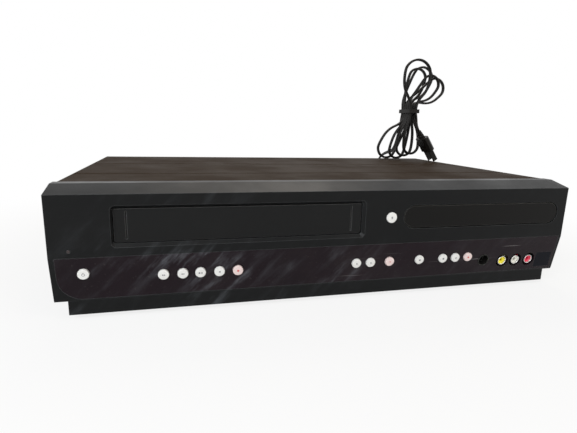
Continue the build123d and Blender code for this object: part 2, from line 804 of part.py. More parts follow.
# ================================================================ disc tray and its front
tray_front_back = tray_front_depth + tray_front_wall
rack_x = tray_x - tray_width / 2 + rack_in  # pitch line of the rack
gear_pitch_radius = gear_teeth * gear_module / 2
gear_x = rack_x + gear_pitch_radius
tooth_pitch = math.pi * gear_module

with BuildPart() as tray_front:
    with BuildSketch(front(tray_front_depth)):
        with Locations((tray_x, tray_z)):
            stadium(tray_mouth_width - 2 * tray_front_gap, tray_mouth_height - 2 * tray_front_gap)
    extrude(amount=-tray_front_wall)
    chamfer(tray_front.faces().sort_by(Axis.Y)[0].edges(), 0.5)
finish(tray_front, "tray_front")

with BuildPart() as disc_tray:
    with BuildSketch(level(tray_foot)):
        with Locations((tray_x, face_y + tray_front_back + tray_length / 2)):
            Rectangle(tray_width, tray_length)
    extrude(amount=tray_wall)
    with BuildSketch(level(tray_top)):
        with Locations((tray_x, disc_y)):
            RegularPolygon(disc_radius, 40, major_radius=False)
    extrude(amount=-disc_sink, mode=Mode.SUBTRACT)
    with BuildSketch(level(tray_top - disc_sink)):
        with Locations((tray_x, disc_y)):
            RegularPolygon(small_disc_radius, 32, major_radius=False)
    extrude(amount=-small_disc_sink, mode=Mode.SUBTRACT)
    slot_back = face_y + tray_front_back + tray_length
    with BuildSketch(level(tray_top)):
        with Locations((tray_x, disc_y)):
            RegularPolygon(tray_slot / 2, 16, major_radius=False)
        with Locations((tray_x, (disc_y + slot_back) / 2)):
            Rectangle(tray_slot, slot_back - disc_y)
    extrude(amount=-tray_wall, mode=Mode.SUBTRACT)
    # rack under the left edge, its teeth facing the middle
    rack_start_y = face_y + gear_depth - 1.5 * tooth_pitch
    rack_count = int((slot_back - rack_start_y) / tooth_pitch)
    with BuildSketch(level(tray_foot)):
        with BuildLine():
            flank = math.tan(math.radians(20))
            half_tip = tooth_pitch / 4 - gear_module * flank - gear_backlash / 2
            half_root = tooth_pitch / 4 + 1.25 * gear_module * flank - gear_backlash / 2
            root_x = rack_x - 1.25 * gear_module
            tip_x = rack_x + gear_module
            points = [(rack_x - rack_back, rack_start_y), (root_x, rack_start_y)]
            for tooth in range(rack_count):
                middle_y = rack_start_y + (tooth + 0.5) * tooth_pitch
                points.append((root_x, middle_y - half_root))
                points.append((tip_x, middle_y - half_tip))
                points.append((tip_x, middle_y + half_tip))
                points.append((root_x, middle_y + half_root))
            rack_end_y = rack_start_y + rack_count * tooth_pitch
            points.append((root_x, rack_end_y))
            points.append((rack_x - rack_back, rack_end_y))
            Polyline(*points, close=True)
        make_face()
    extrude(amount=-(gear_wall + 0.5))
finish(disc_tray, "disc_tray")


def involute(base_radius, radius):
    """Angle by which an involute from base_radius has turned when it reaches radius."""
    roll = math.acos(min(1.0, base_radius / radius))
    return math.tan(roll) - roll


def gear_outline(teeth, module, backlash, phase):
    """Corner points of a spur gear with involute flanks; a tooth gap points along the phase angle."""
    pitch_radius = teeth * module / 2
    base_radius = pitch_radius * math.cos(math.radians(20))
    outer_radius = pitch_radius + module
    root_radius = pitch_radius - 1.25 * module
    half_tooth = math.pi / (2 * teeth) - backlash / (2 * pitch_radius)
    corners = []
    for tooth in range(teeth):
        middle = phase + (tooth + 0.5) * 2 * math.pi / teeth
        flank = []
        for radius in (root_radius, outer_radius):
            rolled = involute(base_radius, max(base_radius, radius))
            flank.append((radius, half_tooth + involute(base_radius, pitch_radius) - rolled))
        for radius, turn in flank:
            corners.append((radius * math.cos(middle - turn), radius * math.sin(middle - turn)))
        for radius, turn in reversed(flank):
            corners.append((radius * math.cos(middle + turn), radius * math.sin(middle + turn)))
    return corners


# ================================================================ disc drive
drive_half = tray_width / 2 + slide_gap + drive_wall
drive_x = tray_x
drive_mid_y = face_y + (drive_front + drive_back) / 2
traverse_mid_y = face_y + (traverse_front + traverse_back) / 2
ledge_top = tray_foot - slide_gap
gear_y = face_y + gear_depth
gear_foot = tray_foot - gear_wall - 0.4
traverse_pivot_y = face_y + traverse_back - 6.0
traverse_pivot_z = traverse_top - traverse_wall / 2
bridge_top = drive_head
clamp_y = disc_y

with BuildPart() as drive_frame:
    with BuildSketch(level(drive_floor)):
        with Locations((drive_x, drive_mid_y)):
            Rectangle(2 * drive_half, drive_length)
        with Locations((drive_x, traverse_mid_y)):
            Rectangle(traverse_width + 12.0, traverse_length + 10.0, mode=Mode.SUBTRACT)
    extrude(amount=drive_wall)
    for side in (-1, 1):
        wall_x = drive_x + side * (drive_half - drive_wall / 2)
        ledge_x = drive_x + side * (drive_half - drive_wall - ledge_width / 2)
        with BuildSketch(level(drive_floor)):
            with Locations((wall_x, drive_mid_y)):
                Rectangle(drive_wall, drive_length)
        extrude(amount=drive_head - drive_floor)
        with BuildSketch(level(ledge_top - ledge_wall)):
            with Locations((ledge_x + side * ledge_back / 2, drive_mid_y)):
                Rectangle(ledge_width - ledge_back, drive_length)
        extrude(amount=ledge_wall)
        with BuildSketch(level(tray_top + slide_gap)):
            with Locations(*[(ledge_x, face_y + d) for d in hold_down_depths]):
                Rectangle(ledge_width, hold_down_length)
        extrude(amount=ledge_wall)
        # pivot ears of the traverse frame, each on a tab of the floor
        ear_x = drive_x + side * (traverse_width / 2 + ear_gap + ear_wall / 2)
        with BuildSketch(Plane.YZ.offset(ear_x - ear_wall / 2)):
            with Locations((traverse_pivot_y, (drive_floor + traverse_pivot_z + ear_head) / 2)):
                Rectangle(ear_side, traverse_pivot_z + ear_head - drive_floor)
            with Locations((traverse_pivot_y, traverse_pivot_z)):
                Circle(rod_radius + fit_gap, mode=Mode.SUBTRACT)
        extrude(amount=ear_wall)
        with BuildSketch(level(drive_floor)):
            with Locations((drive_x + side * (traverse_width / 2 + 5.0), traverse_pivot_y)):
                Rectangle(10.0, 12.0)
        extrude(amount=drive_wall)
    # bridge over the disc, with the seat of the clamp
    with BuildSketch(level(bridge_top - bridge_wall)):
        with Locations((drive_x, clamp_y)):
            Rectangle(2 * drive_half, bridge_length)
            RegularPolygon(clamp_radius - clamp_rim, 16, major_radius=False, mode=Mode.SUBTRACT)
    extrude(amount=bridge_wall)
    # post of the loading gear and the legs down to the base pan
    with BuildSketch(level(drive_floor)):
        with Locations((gear_x, gear_y)):
            RegularPolygon(gear_boss_radius, 8)
    extrude(amount=gear_foot - slide_gap - drive_floor)
    with BuildSketch(level(drive_floor)):
        with Locations((gear_x, gear_y)):
            Circle(gear_post_radius)
    extrude(amount=gear_foot + gear_wall - 0.3 - drive_floor)
    with BuildSketch(level(floor_z)):
        with Locations((drive_x, drive_mid_y)):
            with GridLocations(2 * (drive_half - drive_leg_in), drive_length - 4 * drive_leg_in, 2, 2):
                Rectangle(leg_side, leg_side)
    extrude(amount=drive_floor - floor_z)
finish(drive_frame, "drive_frame")

with BuildPart() as loading_gear:
    with BuildSketch(Plane(origin=(gear_x, gear_y, gear_foot))):
        with BuildLine():
            Polyline(*gear_outline(gear_teeth, gear_module, gear_backlash, math.pi), close=True)
        make_face()
        Circle(gear_post_radius + fit_gap, mode=Mode.SUBTRACT)
    extrude(amount=gear_wall)
finish(loading_gear, "loading_gear")

with BuildPart() as disc_clamp:
    with BuildSketch(level(bridge_top + slide_gap)):
        with Locations((drive_x, clamp_y)):
            RegularPolygon(clamp_radius, 16)
    extrude(amount=clamp_wall)
    with BuildSketch(level(bridge_top + slide_gap)):
        with Locations((drive_x, clamp_y)):
            RegularPolygon(clamp_radius - clamp_rim - 2 * slide_gap, 16)
    extrude(amount=-(bridge_top + slide_gap - tray_top - clamp_lift))
finish(disc_clamp, "disc_clamp")

rod_z = traverse_top - rod_drop
sled_y = disc_y + turntable_radius + sled_behind + sled_length / 2
rod_start, rod_end = disc_depth + 4.0, traverse_back - 16.0  # depths of the rods' ends
slot_start, slot_end = disc_depth + 8.0, traverse_back - 20.0  # depths of the opening between them

with BuildPart() as traverse_frame:
    with BuildSketch(level(traverse_top)):
        with Locations((drive_x, traverse_mid_y)):
            Rectangle(traverse_width, traverse_length)
        with Locations((drive_x, face_y + (slot_start + slot_end) / 2)):
            Rectangle(rod_spacing + 12.0, slot_end - slot_start, mode=Mode.SUBTRACT)
    extrude(amount=-traverse_wall)
    # end blocks that hold the rods, and the pivot pins
    rods_x = (drive_x - rod_spacing / 2, drive_x + rod_spacing / 2)
    blocks_y = (face_y + rod_start + rod_block_length / 2, face_y + rod_end - rod_block_length / 2)
    with BuildSketch(level(traverse_top - traverse_wall)):
        with Locations(*[(x, y) for x in rods_x for y in blocks_y]):
            Rectangle(rod_block_width, rod_block_length)
    extrude(amount=-2 * traverse_wall)
    with BuildSketch(front(rod_start)):
        with Locations(*[(x, rod_z) for x in rods_x]):
            RegularPolygon(rod_radius, 8)
    extrude(amount=-(rod_end - rod_start))
    with BuildSketch(Plane.YZ.offset(drive_x)):
        with Locations((traverse_pivot_y, traverse_pivot_z)):
            Circle(rod_radius)
    extrude(amount=traverse_width / 2 + ear_gap + ear_wall - slide_gap, both=True)
    # spindle motor under the turntable, with its bearing
    with BuildSketch(level(traverse_top)):
        with Locations((drive_x, disc_y)):
            RegularPolygon(spindle_boss_radius, small_parts_sides)
    extrude(amount=spindle_boss)
    with BuildSketch(level(traverse_top - traverse_wall)):
        with Locations((drive_x, disc_y - motor_behind)):
            RegularPolygon(motor_radius, small_parts_sides)
    extrude(amount=-motor_drop)
    with BuildSketch(level(traverse_top + spindle_boss)):
        with Locations((drive_x, disc_y)):
            Circle(rod_radius + fit_gap)
    extrude(amount=-spindle_bore, mode=Mode.SUBTRACT)
finish(traverse_frame, "traverse_frame")

disc_floor = tray_top - disc_sink
turntable_foot = disc_floor + 0.4 - turntable_rise
with BuildPart() as turntable:
    with BuildSketch(level(turntable_foot)):
        with Locations((drive_x, disc_y)):
            RegularPolygon(turntable_radius, round_parts_sides)
    extrude(amount=turntable_rise)
    with BuildSketch(level(disc_floor + 0.4)):
        with Locations((drive_x, disc_y)):
            RegularPolygon(turntable_hub, small_parts_sides)
    extrude(amount=turntable_rise, taper=12)
    with BuildSketch(level(turntable_foot)):
        with Locations((drive_x, disc_y)):
            RegularPolygon(spindle_boss_radius, small_parts_sides)
    extrude(amount=-(turntable_foot - traverse_top - spindle_boss - slide_gap))
    with BuildSketch(level(turntable_foot)):
        with Locations((drive_x, disc_y)):
            Circle(rod_radius)
    extrude(amount=-(turntable_foot - traverse_top + spindle_reach))
finish(turntable, "turntable")

with BuildPart() as pickup_sled:
    with BuildSketch(front(sled_y - sled_length / 2 - face_y)):
        with Locations((drive_x, rod_z + 1.0)):
            Rectangle(rod_spacing + 2 * sled_margin, sled_height)
        with Locations(*[(x, rod_z) for x in rods_x]):
            RegularPolygon(rod_radius + fit_gap, 8, mode=Mode.SUBTRACT)
    extrude(amount=-sled_length)
    sled_top = rod_z + 1.0 + sled_height / 2
    with BuildSketch(level(sled_top)):
        with Locations((drive_x, sled_y - sled_behind)):
            Rectangle(lens_block_width, lens_block_length)
    extrude(amount=lens_block_height)
    with BuildSketch(level(sled_top + lens_block_height)):
        with Locations((drive_x, sled_y - sled_behind)):
            RegularPolygon(pickup_lens_radius, small_parts_sides)
    extrude(amount=pickup_lens_height)
finish(pickup_sled, "pickup_sled")

# ================================================================ buttons and their boards
switch_top = board_back - switch_height


def button(plane, place, radius, proud, wall, stem_end):
    """A round cap that slides through a wall, with a stop behind it and a stem towards its switch."""
    with BuildPart() as cap:
        with BuildSketch(plane.offset(proud)):
            with Locations(place):
                RegularPolygon(radius, cap_sides)
        extrude(amount=-(proud + wall + slide_gap + stop_wall))
        chamfer(cap.faces().sort_by(Axis(plane.origin, plane.z_dir))[-1].edges(), cap_chamfer)
        with BuildSketch(plane.offset(-(wall + slide_gap))):
            with Locations(place):
                Rectangle(2 * (radius + stop_reach), radius)
        extrude(amount=-stop_wall)
        with BuildSketch(plane.offset(-(wall + slide_gap))):
            with Locations(place):
                Rectangle(stem_side, stem_side)
        extrude(amount=-(stem_end - wall - slide_gap))
    return cap


for name, (button_x, button_z) in strip_buttons.items():
    stem_end = switch_top - button_travel - slide_gap
    piece = button(
        strip_plane, (button_x, on_strip(button_z)), cap_radius, cap_proud, strip_back, stem_end
    )
    finish(piece, name)

tray_board_depth = panel_wall + board_gap
tray_stem_end = tray_board_depth - switch_height - button_travel - slide_gap
tray_button = button(
    front(0), (tray_button_x, tray_button_z), tray_cap_radius, tray_cap_proud, panel_wall, tray_stem_end
)
finish(tray_button, "tray_button")

with BuildPart() as front_board:
    with BuildSketch(strip_plane.offset(-board_back)):
        with Locations(strip_middle):
            Rectangle(strip_right - strip_left - 2 * board_margin, strip_length - board_margin)
    extrude(amount=-board_wall)
    with BuildSketch(strip_plane.offset(-board_back)):
        with Locations(*button_places):
            Rectangle(switch_side, switch_side)
    extrude(amount=switch_height)
    # a small board of its own carries the switch beside the tray
    with BuildSketch(front(tray_board_depth)):
        with Locations((tray_button_x, tray_button_z)):
            Rectangle(tray_board_width, tray_board_height)
    extrude(amount=-board_wall)
    with BuildSketch(front(tray_board_depth)):
        with Locations((tray_button_x, tray_button_z)):
            Rectangle(switch_side, switch_side)
    extrude(amount=switch_height)
finish(front_board, "front_board")

with BuildPart() as display:
    with BuildSketch(strip_plane.offset(-board_back)):
        with Locations(display_place):
            Rectangle(display_width - 2 * display_gap, display_height - 2 * display_gap)
    extrude(amount=board_gap + panel_wall - sheet_gap)
finish(display, "display")

# ================================================================ front sockets
collar_face = phono_sink + phono_barrel
shell_bore = phono_shell_radius - phono_shell_wall

with BuildPart() as phono_shells:
    with BuildSketch(strip_plane.offset(-phono_sink)):
        with Locations(*phono_places):
            Circle(phono_shell_radius)
    extrude(amount=-phono_barrel)
    with BuildSketch(strip_plane.offset(-collar_face)):
        with Locations(*phono_places):
            RegularPolygon(phono_root_radius, round_sides)
    extrude(amount=-(board_back - collar_face - phono_foot))
    with BuildSketch(strip_plane.offset(-phono_sink)):
        with Locations(*phono_places):
            RegularPolygon(shell_bore, round_sides)
    extrude(amount=-board_back, mode=Mode.SUBTRACT)
finish(phono_shells, "phono_shells")

insert_face = phono_sink + insert_sink
for name, place in zip(("video_socket", "left_sound_socket", "right_sound_socket"), phono_places):
    with BuildPart() as insert:
        with BuildSketch(strip_plane.offset(-board_back)):
            with Locations(place):
                RegularPolygon(phono_recess_radius - phono_collar_gap, small_parts_sides)
                RegularPolygon(phono_root_radius + fit_gap, round_sides, mode=Mode.SUBTRACT)
        extrude(amount=board_back - collar_face)
        with BuildSketch(strip_plane.offset(-board_back)):
            with Locations(place):
                RegularPolygon(phono_recess_radius - phono_collar_gap, small_parts_sides)
        extrude(amount=phono_foot)
        with BuildSketch(strip_plane.offset(-insert_face)):
            with Locations(place):
                RegularPolygon(shell_bore - fit_gap, round_sides)
        extrude(amount=-(board_back - insert_face))
        with BuildSketch(strip_plane.offset(-insert_face)):
            with Locations(place):
                RegularPolygon(phono_pin_hole, 8)
        extrude(amount=-(board_back - insert_face - phono_foot), mode=Mode.SUBTRACT)
    finish(insert, name)

with BuildPart() as round_socket:
    with BuildSketch(strip_plane.offset(round_socket_proud)):
        with Locations(round_socket_place):
            RegularPolygon(round_socket_radius, round_sides)
    extrude(amount=-(board_back + round_socket_proud))
    with BuildSketch(strip_plane.offset(round_socket_proud)):
        with Locations(round_socket_place):
            Circle(round_socket_bore)
    extrude(amount=-(round_socket_deep + round_socket_proud), mode=Mode.SUBTRACT)
    with BuildSketch(strip_plane.offset(-round_socket_deep)):
        with Locations(round_socket_place):
            with GridLocations(3.4, 2.6, 2, 2):
                Rectangle(0.9, 0.9)
        with Locations((round_socket_place[0], round_socket_place[1] - 3.0)):
            Rectangle(2.4, 0.9)
    extrude(amount=-4.0, mode=Mode.SUBTRACT)
finish(round_socket, "round_socket")

# ================================================================ tape deck
guide_half = holder_inside / 2 + holder_wall + guide_gap
holder_foot = throat_foot - holder_wall - 0.2
holder_z = holder_foot + holder_wall + holder_height / 2
guide_head = holder_z + guide_rise
pin_places = [(face_y + d, holder_z) for d in holder_pin_depths]
drum_y = face_y + drum_depth
drum_z = deck_top + drum_low
drum_plane = Plane(
    origin=(deck_x, drum_y, drum_z),
    x_dir=(math.cos(math.radians(drum_tilt)), 0, -math.sin(math.radians(drum_tilt))),
    z_dir=(math.sin(math.radians(drum_tilt)), 0, math.cos(math.radians(drum_tilt))),
)
reel_places = [(deck_x + side * reel_spacing / 2, face_y + reel_depth) for side in (-1, 1)]
capstan_place = (deck_x + capstan_x, face_y + capstan_depth)
pinch_pivot = (
    capstan_place[0] + pinch_pivot_right,
    capstan_place[1] - pinch_arm_length - pinch_pivot_front,
)
flywheel_top = deck_top - deck_wall - flywheel_drop

with BuildPart() as deck_frame:
    with BuildSketch(level(deck_top)):
        with Locations((deck_x, deck_mid_y)):
            Rectangle(deck_width, deck_length)
    extrude(amount=-deck_wall)
    with BuildSketch(level(deck_top - deck_wall)):
        with Locations((deck_x, deck_mid_y)):
            with GridLocations(deck_width - 2 * leg_in, deck_length - 2 * leg_in, 2, 2):
                Rectangle(leg_side, leg_side)
    extrude(amount=-(deck_top - deck_wall - floor_z))
    with BuildSketch(level(deck_top)):
        with Locations(*reel_places):
            RegularPolygon(boss_radius, small_parts_sides)
    extrude(amount=reel_boss)
    with BuildSketch(level(deck_top)):
        with Locations(*reel_places):
            Circle(reel_post_radius)
    extrude(amount=reel_post)
    # bearing of the capstan and post of the pinch roller's arm
    with BuildSketch(level(deck_top)):
        with Locations(capstan_place):
            RegularPolygon(boss_radius, small_parts_sides)
    extrude(amount=capstan_bearing)
    with BuildSketch(level(deck_top - deck_wall)):
        with Locations(capstan_place):
            Circle(capstan_radius + fit_gap)
    extrude(amount=deck_wall + capstan_bearing, mode=Mode.SUBTRACT)
    with BuildSketch(level(deck_top)):
        with Locations(pinch_pivot):
            Circle(pinch_post_radius)
    extrude(amount=pinch_post)
finish(deck_frame, "deck_frame")

with BuildPart() as carriage_guides:
    guide_start, guide_end = holder_front - guide_front, holder_pin_depths[1] + holder_in + guide_back
    slot_turn = -math.degrees(math.atan2(holder_down, holder_in))
    for side in (-1, 1):
        with BuildSketch(Plane.YZ.offset(deck_x + side * guide_half)):
            with Locations((face_y + (guide_start + guide_end) / 2, (deck_top + guide_head) / 2)):
                Rectangle(guide_end - guide_start, guide_head - deck_top)
            for pin_y, pin_z in pin_places:
                with Locations(Location((pin_y + holder_in / 2, pin_z - holder_down / 2), slot_turn)):
                    Rectangle(
                        math.hypot(holder_in, holder_down) + 2 * (holder_pin_radius + slide_gap),
                        2 * (holder_pin_radius + slide_gap),
                        mode=Mode.SUBTRACT,
                    )
        extrude(amount=side * guide_wall)
finish(carriage_guides, "carriage_guides")

with BuildPart() as cassette_holder:
    with BuildSketch(front(holder_front)):
        with Locations((deck_x, holder_z)):
            Rectangle(holder_inside + 2 * holder_wall, holder_height + 2 * holder_wall)
            Rectangle(holder_inside, holder_height, mode=Mode.SUBTRACT)
        with Locations((deck_x, holder_foot + holder_wall / 2)):
            Rectangle(holder_inside - 2 * holder_ledge, holder_wall * 2, mode=Mode.SUBTRACT)
    extrude(amount=-(holder_back - holder_front))
    with BuildSketch(level(holder_foot + holder_height + 2 * holder_wall)):
        with Locations((deck_x, face_y + (holder_front + holder_back) / 2)):
            with GridLocations(holder_window_pitch, 0, 2, 1):
                Rectangle(holder_window_width, holder_window_length)
    extrude(amount=-holder_wall, mode=Mode.SUBTRACT)
    for side in (-1, 1):
        with BuildSketch(Plane.YZ.offset(deck_x + side * (holder_inside / 2 + holder_wall / 2))):
            with Locations(*pin_places):
                RegularPolygon(holder_pin_radius, 8)
        extrude(amount=side * (holder_wall / 2 + guide_gap + guide_wall + 0.8))
finish(cassette_holder, "cassette_holder")

reel_foot = deck_top + reel_boss + slide_gap
for name, place in zip(("supply_reel_table", "takeup_reel_table"), reel_places):
    with BuildPart() as reel:
        with BuildSketch(level(reel_foot)):
            with Locations(place):
                RegularPolygon(reel_radius, round_parts_sides)
        extrude(amount=reel_wall)
        with BuildSketch(level(reel_foot + reel_wall)):
            with Locations(place):
                RegularPolygon(reel_hub_radius - 1.5, small_parts_sides)
                with PolarLocations(reel_hub_radius - 2.0, 3):
                    Rectangle(4.0, 1.6)
        extrude(amount=reel_hub)
        with BuildSketch(level(reel_foot)):
            with Locations(place):
                Circle(reel_post_radius + fit_gap)
        extrude(amount=reel_wall + reel_hub + 1.0, mode=Mode.SUBTRACT)
    finish(reel, name)

drum_turn = math.radians(drum_tilt)
with BuildPart() as drum_base:
    with BuildSketch(drum_plane):
        RegularPolygon(drum_radius, round_parts_sides)
    extrude(amount=-(drum_low - drum_radius * math.sin(drum_turn) - 0.6))
    with BuildSketch(level(deck_top)):
        with Locations((deck_x, drum_y)):
            RegularPolygon(drum_radius * 0.7, small_parts_sides)
    extrude(amount=drum_low * 0.7)
    with BuildSketch(drum_plane):
        Circle(drum_shaft_radius + fit_gap)
    extrude(amount=-drum_low * 0.8, mode=Mode.SUBTRACT)
finish(drum_base, "drum_base")

with BuildPart() as head_drum:
    with BuildSketch(drum_plane.offset(slide_gap)):
        RegularPolygon(drum_radius, round_parts_sides)
    extrude(amount=drum_high)
    drum_axis = Axis(drum_plane.origin, drum_plane.z_dir)
    chamfer(head_drum.faces().sort_by(drum_axis)[-1].edges(), drum_chamfer)
    with BuildSketch(drum_plane.offset(slide_gap)):
        Circle(drum_shaft_radius)
    extrude(amount=-drum_low * 0.7)
    with BuildSketch(drum_plane.offset(drum_high + slide_gap)):
        with PolarLocations(drum_radius * 0.62, 4):
            Rectangle(4.0, 4.0)
    extrude(amount=-2.0, mode=Mode.SUBTRACT)
finish(head_drum, "head_drum")

with BuildPart() as capstan:
    with BuildSketch(level(flywheel_top)):
        with Locations(capstan_place):
            RegularPolygon(flywheel_radius, round_parts_sides)
    extrude(amount=-flywheel_wall)
    with BuildSketch(level(flywheel_top)):
        with Locations(capstan_place):
            RegularPolygon(boss_radius, small_parts_sides)
    extrude(amount=flywheel_drop - slide_gap)
    with BuildSketch(level(flywheel_top)):
        with Locations(capstan_place):
            Circle(capstan_radius)
    extrude(amount=deck_top + capstan_rise - flywheel_top)
finish(capstan, "capstan")

pinch_x = pinch_pivot[0] + pinch_lead
pinch_y = pinch_pivot[1] + math.sqrt(pinch_arm_length**2 - pinch_lead**2)
with BuildPart() as pinch_arm:
    with BuildSketch(level(deck_top + slide_gap)):
        with Locations(
            Location(
                ((pinch_pivot[0] + pinch_x) / 2, (pinch_pivot[1] + pinch_y) / 2),
                math.degrees(math.atan2(pinch_y - pinch_pivot[1], pinch_x - pinch_pivot[0])),
            )
        ):
            cut_corners(pinch_arm_length + pinch_arm_width, pinch_arm_width, pinch_arm_corner)
        with Locations(pinch_pivot):
            Circle(pinch_post_radius + fit_gap, mode=Mode.SUBTRACT)
    extrude(amount=pinch_arm_wall)
    with BuildSketch(level(deck_top + pinch_arm_wall)):
        with Locations((pinch_x, pinch_y)):
            Circle(pinch_pin_radius)
    extrude(amount=pinch_pin)
finish(pinch_arm, "pinch_arm")

with BuildPart() as pinch_roller:
    with BuildSketch(level(deck_top + pinch_arm_wall + 2 * slide_gap)):
        with Locations((pinch_x, pinch_y)):
            RegularPolygon(pinch_radius, round_parts_sides)
            Circle(pinch_pin_radius + fit_gap, mode=Mode.SUBTRACT)
    extrude(amount=pinch_height)
finish(pinch_roller, "pinch_roller")

# ================================================================ boards
with BuildPart() as main_board:
    with BuildSketch(level(board_height)):
        with Locations((board_x, main_board_y)):
            Rectangle(board_right - board_left, main_board_length)
    extrude(amount=board_wall)
    with BuildSketch(level(board_top)):
        with Locations(*[(board_x + x, main_board_y + y) for x, y in chip_places]):
            Rectangle(chip_side, chip_side)
        with Locations(*[(board_x + x, main_board_y + y) for x, y in memory_places]):
            Rectangle(memory_width, memory_length)
    extrude(amount=chip_wall)
finish(main_board, "main_board")

with BuildPart() as power_board:
    with BuildSketch(level(board_height)):
        with Locations((board_x, power_y)):
            Rectangle(board_right - board_left, power_back - power_front)
    extrude(amount=board_wall)
    with BuildSketch(level(board_top)):
        for right, radius in capacitors:
            with Locations((board_x + right, power_y)):
                RegularPolygon(radius, small_parts_sides)
    extrude(amount=capacitor_height)
    # transformer: core and winding
    with BuildSketch(level(board_top)):
        with Locations((board_x + transformer_right, power_y)):
            Rectangle(transformer_width, transformer_length)
    extrude(amount=transformer_height)
    with BuildSketch(level(board_top + transformer_lift)):
        with Locations((board_x + transformer_right, power_y)):
            Rectangle(transformer_length, transformer_width - 2.0)
    extrude(amount=transformer_height - 2 * transformer_lift)
    # heat sink with its fins
    with BuildSketch(level(board_top)):
        with Locations((board_x + sink_right, power_y)):
            Rectangle(3.0, sink_length)
            with GridLocations(0, 6.0, 1, sink_fins):
                Rectangle(sink_width, 1.6)
    extrude(amount=sink_height)
finish(power_board, "power_board")

# ================================================================ back
def back(out):
    """A plane parallel to the rear panel, this far out of it: its x is -X and its y is Z."""
    return Plane(origin=(0, rear_y + out, 0), x_dir=(-1, 0, 0), z_dir=(0, 1, 0))


rear_phono_places = [(-x, z) for x in rear_phono_x for z in rear_phono_z]
antenna_places = [(-antenna_x, z) for z in antenna_z]

with BuildPart() as rear_panel:
    with BuildSketch(back(0)):
        with Locations((0, (rear_foot + rear_head) / 2)):
            Rectangle(2 * pan_half - 2 * pan_wall - 0.2, rear_head - rear_foot)
        with Locations(*rear_phono_places):
            RegularPolygon(phono_shell_radius + flange_rim + fit_gap, flange_sides, mode=Mode.SUBTRACT)
        with Locations(*antenna_places):
            RegularPolygon(antenna_radius + flange_rim + fit_gap, flange_sides, mode=Mode.SUBTRACT)
        with Locations((-hdmi_x, hdmi_z)):
            Rectangle(hdmi_width + 0.4, hdmi_height + 0.4, mode=Mode.SUBTRACT)
        with Locations((-relief_x, relief_z)):
            RegularPolygon(relief_hole + fit_gap, relief_sides, mode=Mode.SUBTRACT)
        with Locations((-fan_x, fan_z)):
            with GridLocations(0, fan_slot_pitch, 1, fan_slots):
                Rectangle(fan_slot_width, fan_slot_height, mode=Mode.SUBTRACT)
    extrude(amount=-rear_wall)
finish(rear_panel, "rear_panel")

with BuildPart() as fan_frame:
    with BuildSketch(back(-rear_wall)):
        with Locations((-fan_x, fan_z)):
            Rectangle(fan_side, fan_side)
            RegularPolygon(fan_side / 2 - fan_rim, 16, major_radius=False, mode=Mode.SUBTRACT)
    extrude(amount=-fan_wall)
    with BuildSketch(back(-rear_wall)):
        with Locations((-fan_x, fan_z)):
            Rectangle(fan_side - fan_rim, 3.0)
            RegularPolygon(fan_hub_radius, small_parts_sides)
    extrude(amount=-fan_spokes)
    with BuildSketch(back(-rear_wall)):
        with Locations((-fan_x, fan_z)):
            Circle(fan_post_radius)
    extrude(amount=-(fan_wall - 2.0))
finish(fan_frame, "fan_frame")

with BuildPart() as fan_rotor:
    with BuildSketch(back(-rear_wall - fan_spokes - slide_gap)):
        with Locations((-fan_x, fan_z)):
            RegularPolygon(fan_hub_radius + 0.5, small_parts_sides)
    extrude(amount=-(fan_wall - 3.0))
    with BuildSketch(back(-rear_wall - fan_spokes - 1.0)):
        with Locations((-fan_x, fan_z)):
            with PolarLocations(fan_blade_middle, fan_blades):
                Rectangle(fan_blade, 1.6)
    extrude(amount=-(fan_wall - 5.0))
    with BuildSketch(back(-rear_wall - fan_spokes - slide_gap)):
        with Locations((-fan_x, fan_z)):
            Circle(fan_post_radius + fit_gap)
    extrude(amount=-(fan_wall - 3.5), mode=Mode.SUBTRACT)
finish(fan_rotor, "fan_rotor")

with BuildPart() as rear_sockets:
    block_x = -(rear_phono_x[0] + rear_phono_x[-1]) / 2
    block_z = (rear_phono_z[0] + rear_phono_z[-1]) / 2
    with BuildSketch(back(-rear_wall)):
        with Locations((block_x, block_z)):
            Rectangle(
                rear_phono_x[-1] - rear_phono_x[0] + rear_phono_pitch,
                rear_phono_z[-1] - rear_phono_z[0] + rear_phono_pitch,
            )
    extrude(amount=-socket_block)
    with BuildSketch(back(-rear_wall)):
        with Locations(*rear_phono_places):
            RegularPolygon(phono_shell_radius + flange_rim, flange_sides)
    extrude(amount=rear_wall + flange_proud)
    with BuildSketch(back(0)):
        with Locations(*rear_phono_places):
            Circle(phono_shell_radius)
    extrude(amount=rear_phono_reach)
    with BuildSketch(back(rear_phono_reach)):
        with Locations(*rear_phono_places):
            RegularPolygon(phono_shell_radius - 2 * phono_shell_wall, small_parts_sides)
    extrude(amount=-rear_phono_reach, mode=Mode.SUBTRACT)
    # the flat digital socket
    with BuildSketch(back(hdmi_proud)):
        with Locations((-hdmi_x, hdmi_z)):
            Rectangle(hdmi_width, hdmi_height)
            Rectangle(hdmi_width - 2 * hdmi_wall, hdmi_height - 2 * hdmi_wall, mode=Mode.SUBTRACT)
    extrude(amount=-hdmi_depth)
    with BuildSketch(back(hdmi_proud - hdmi_depth)):
        with Locations((-hdmi_x, hdmi_z)):
            Rectangle(hdmi_width, hdmi_height)
    extrude(amount=-2.0)
finish(rear_sockets, "rear_sockets")

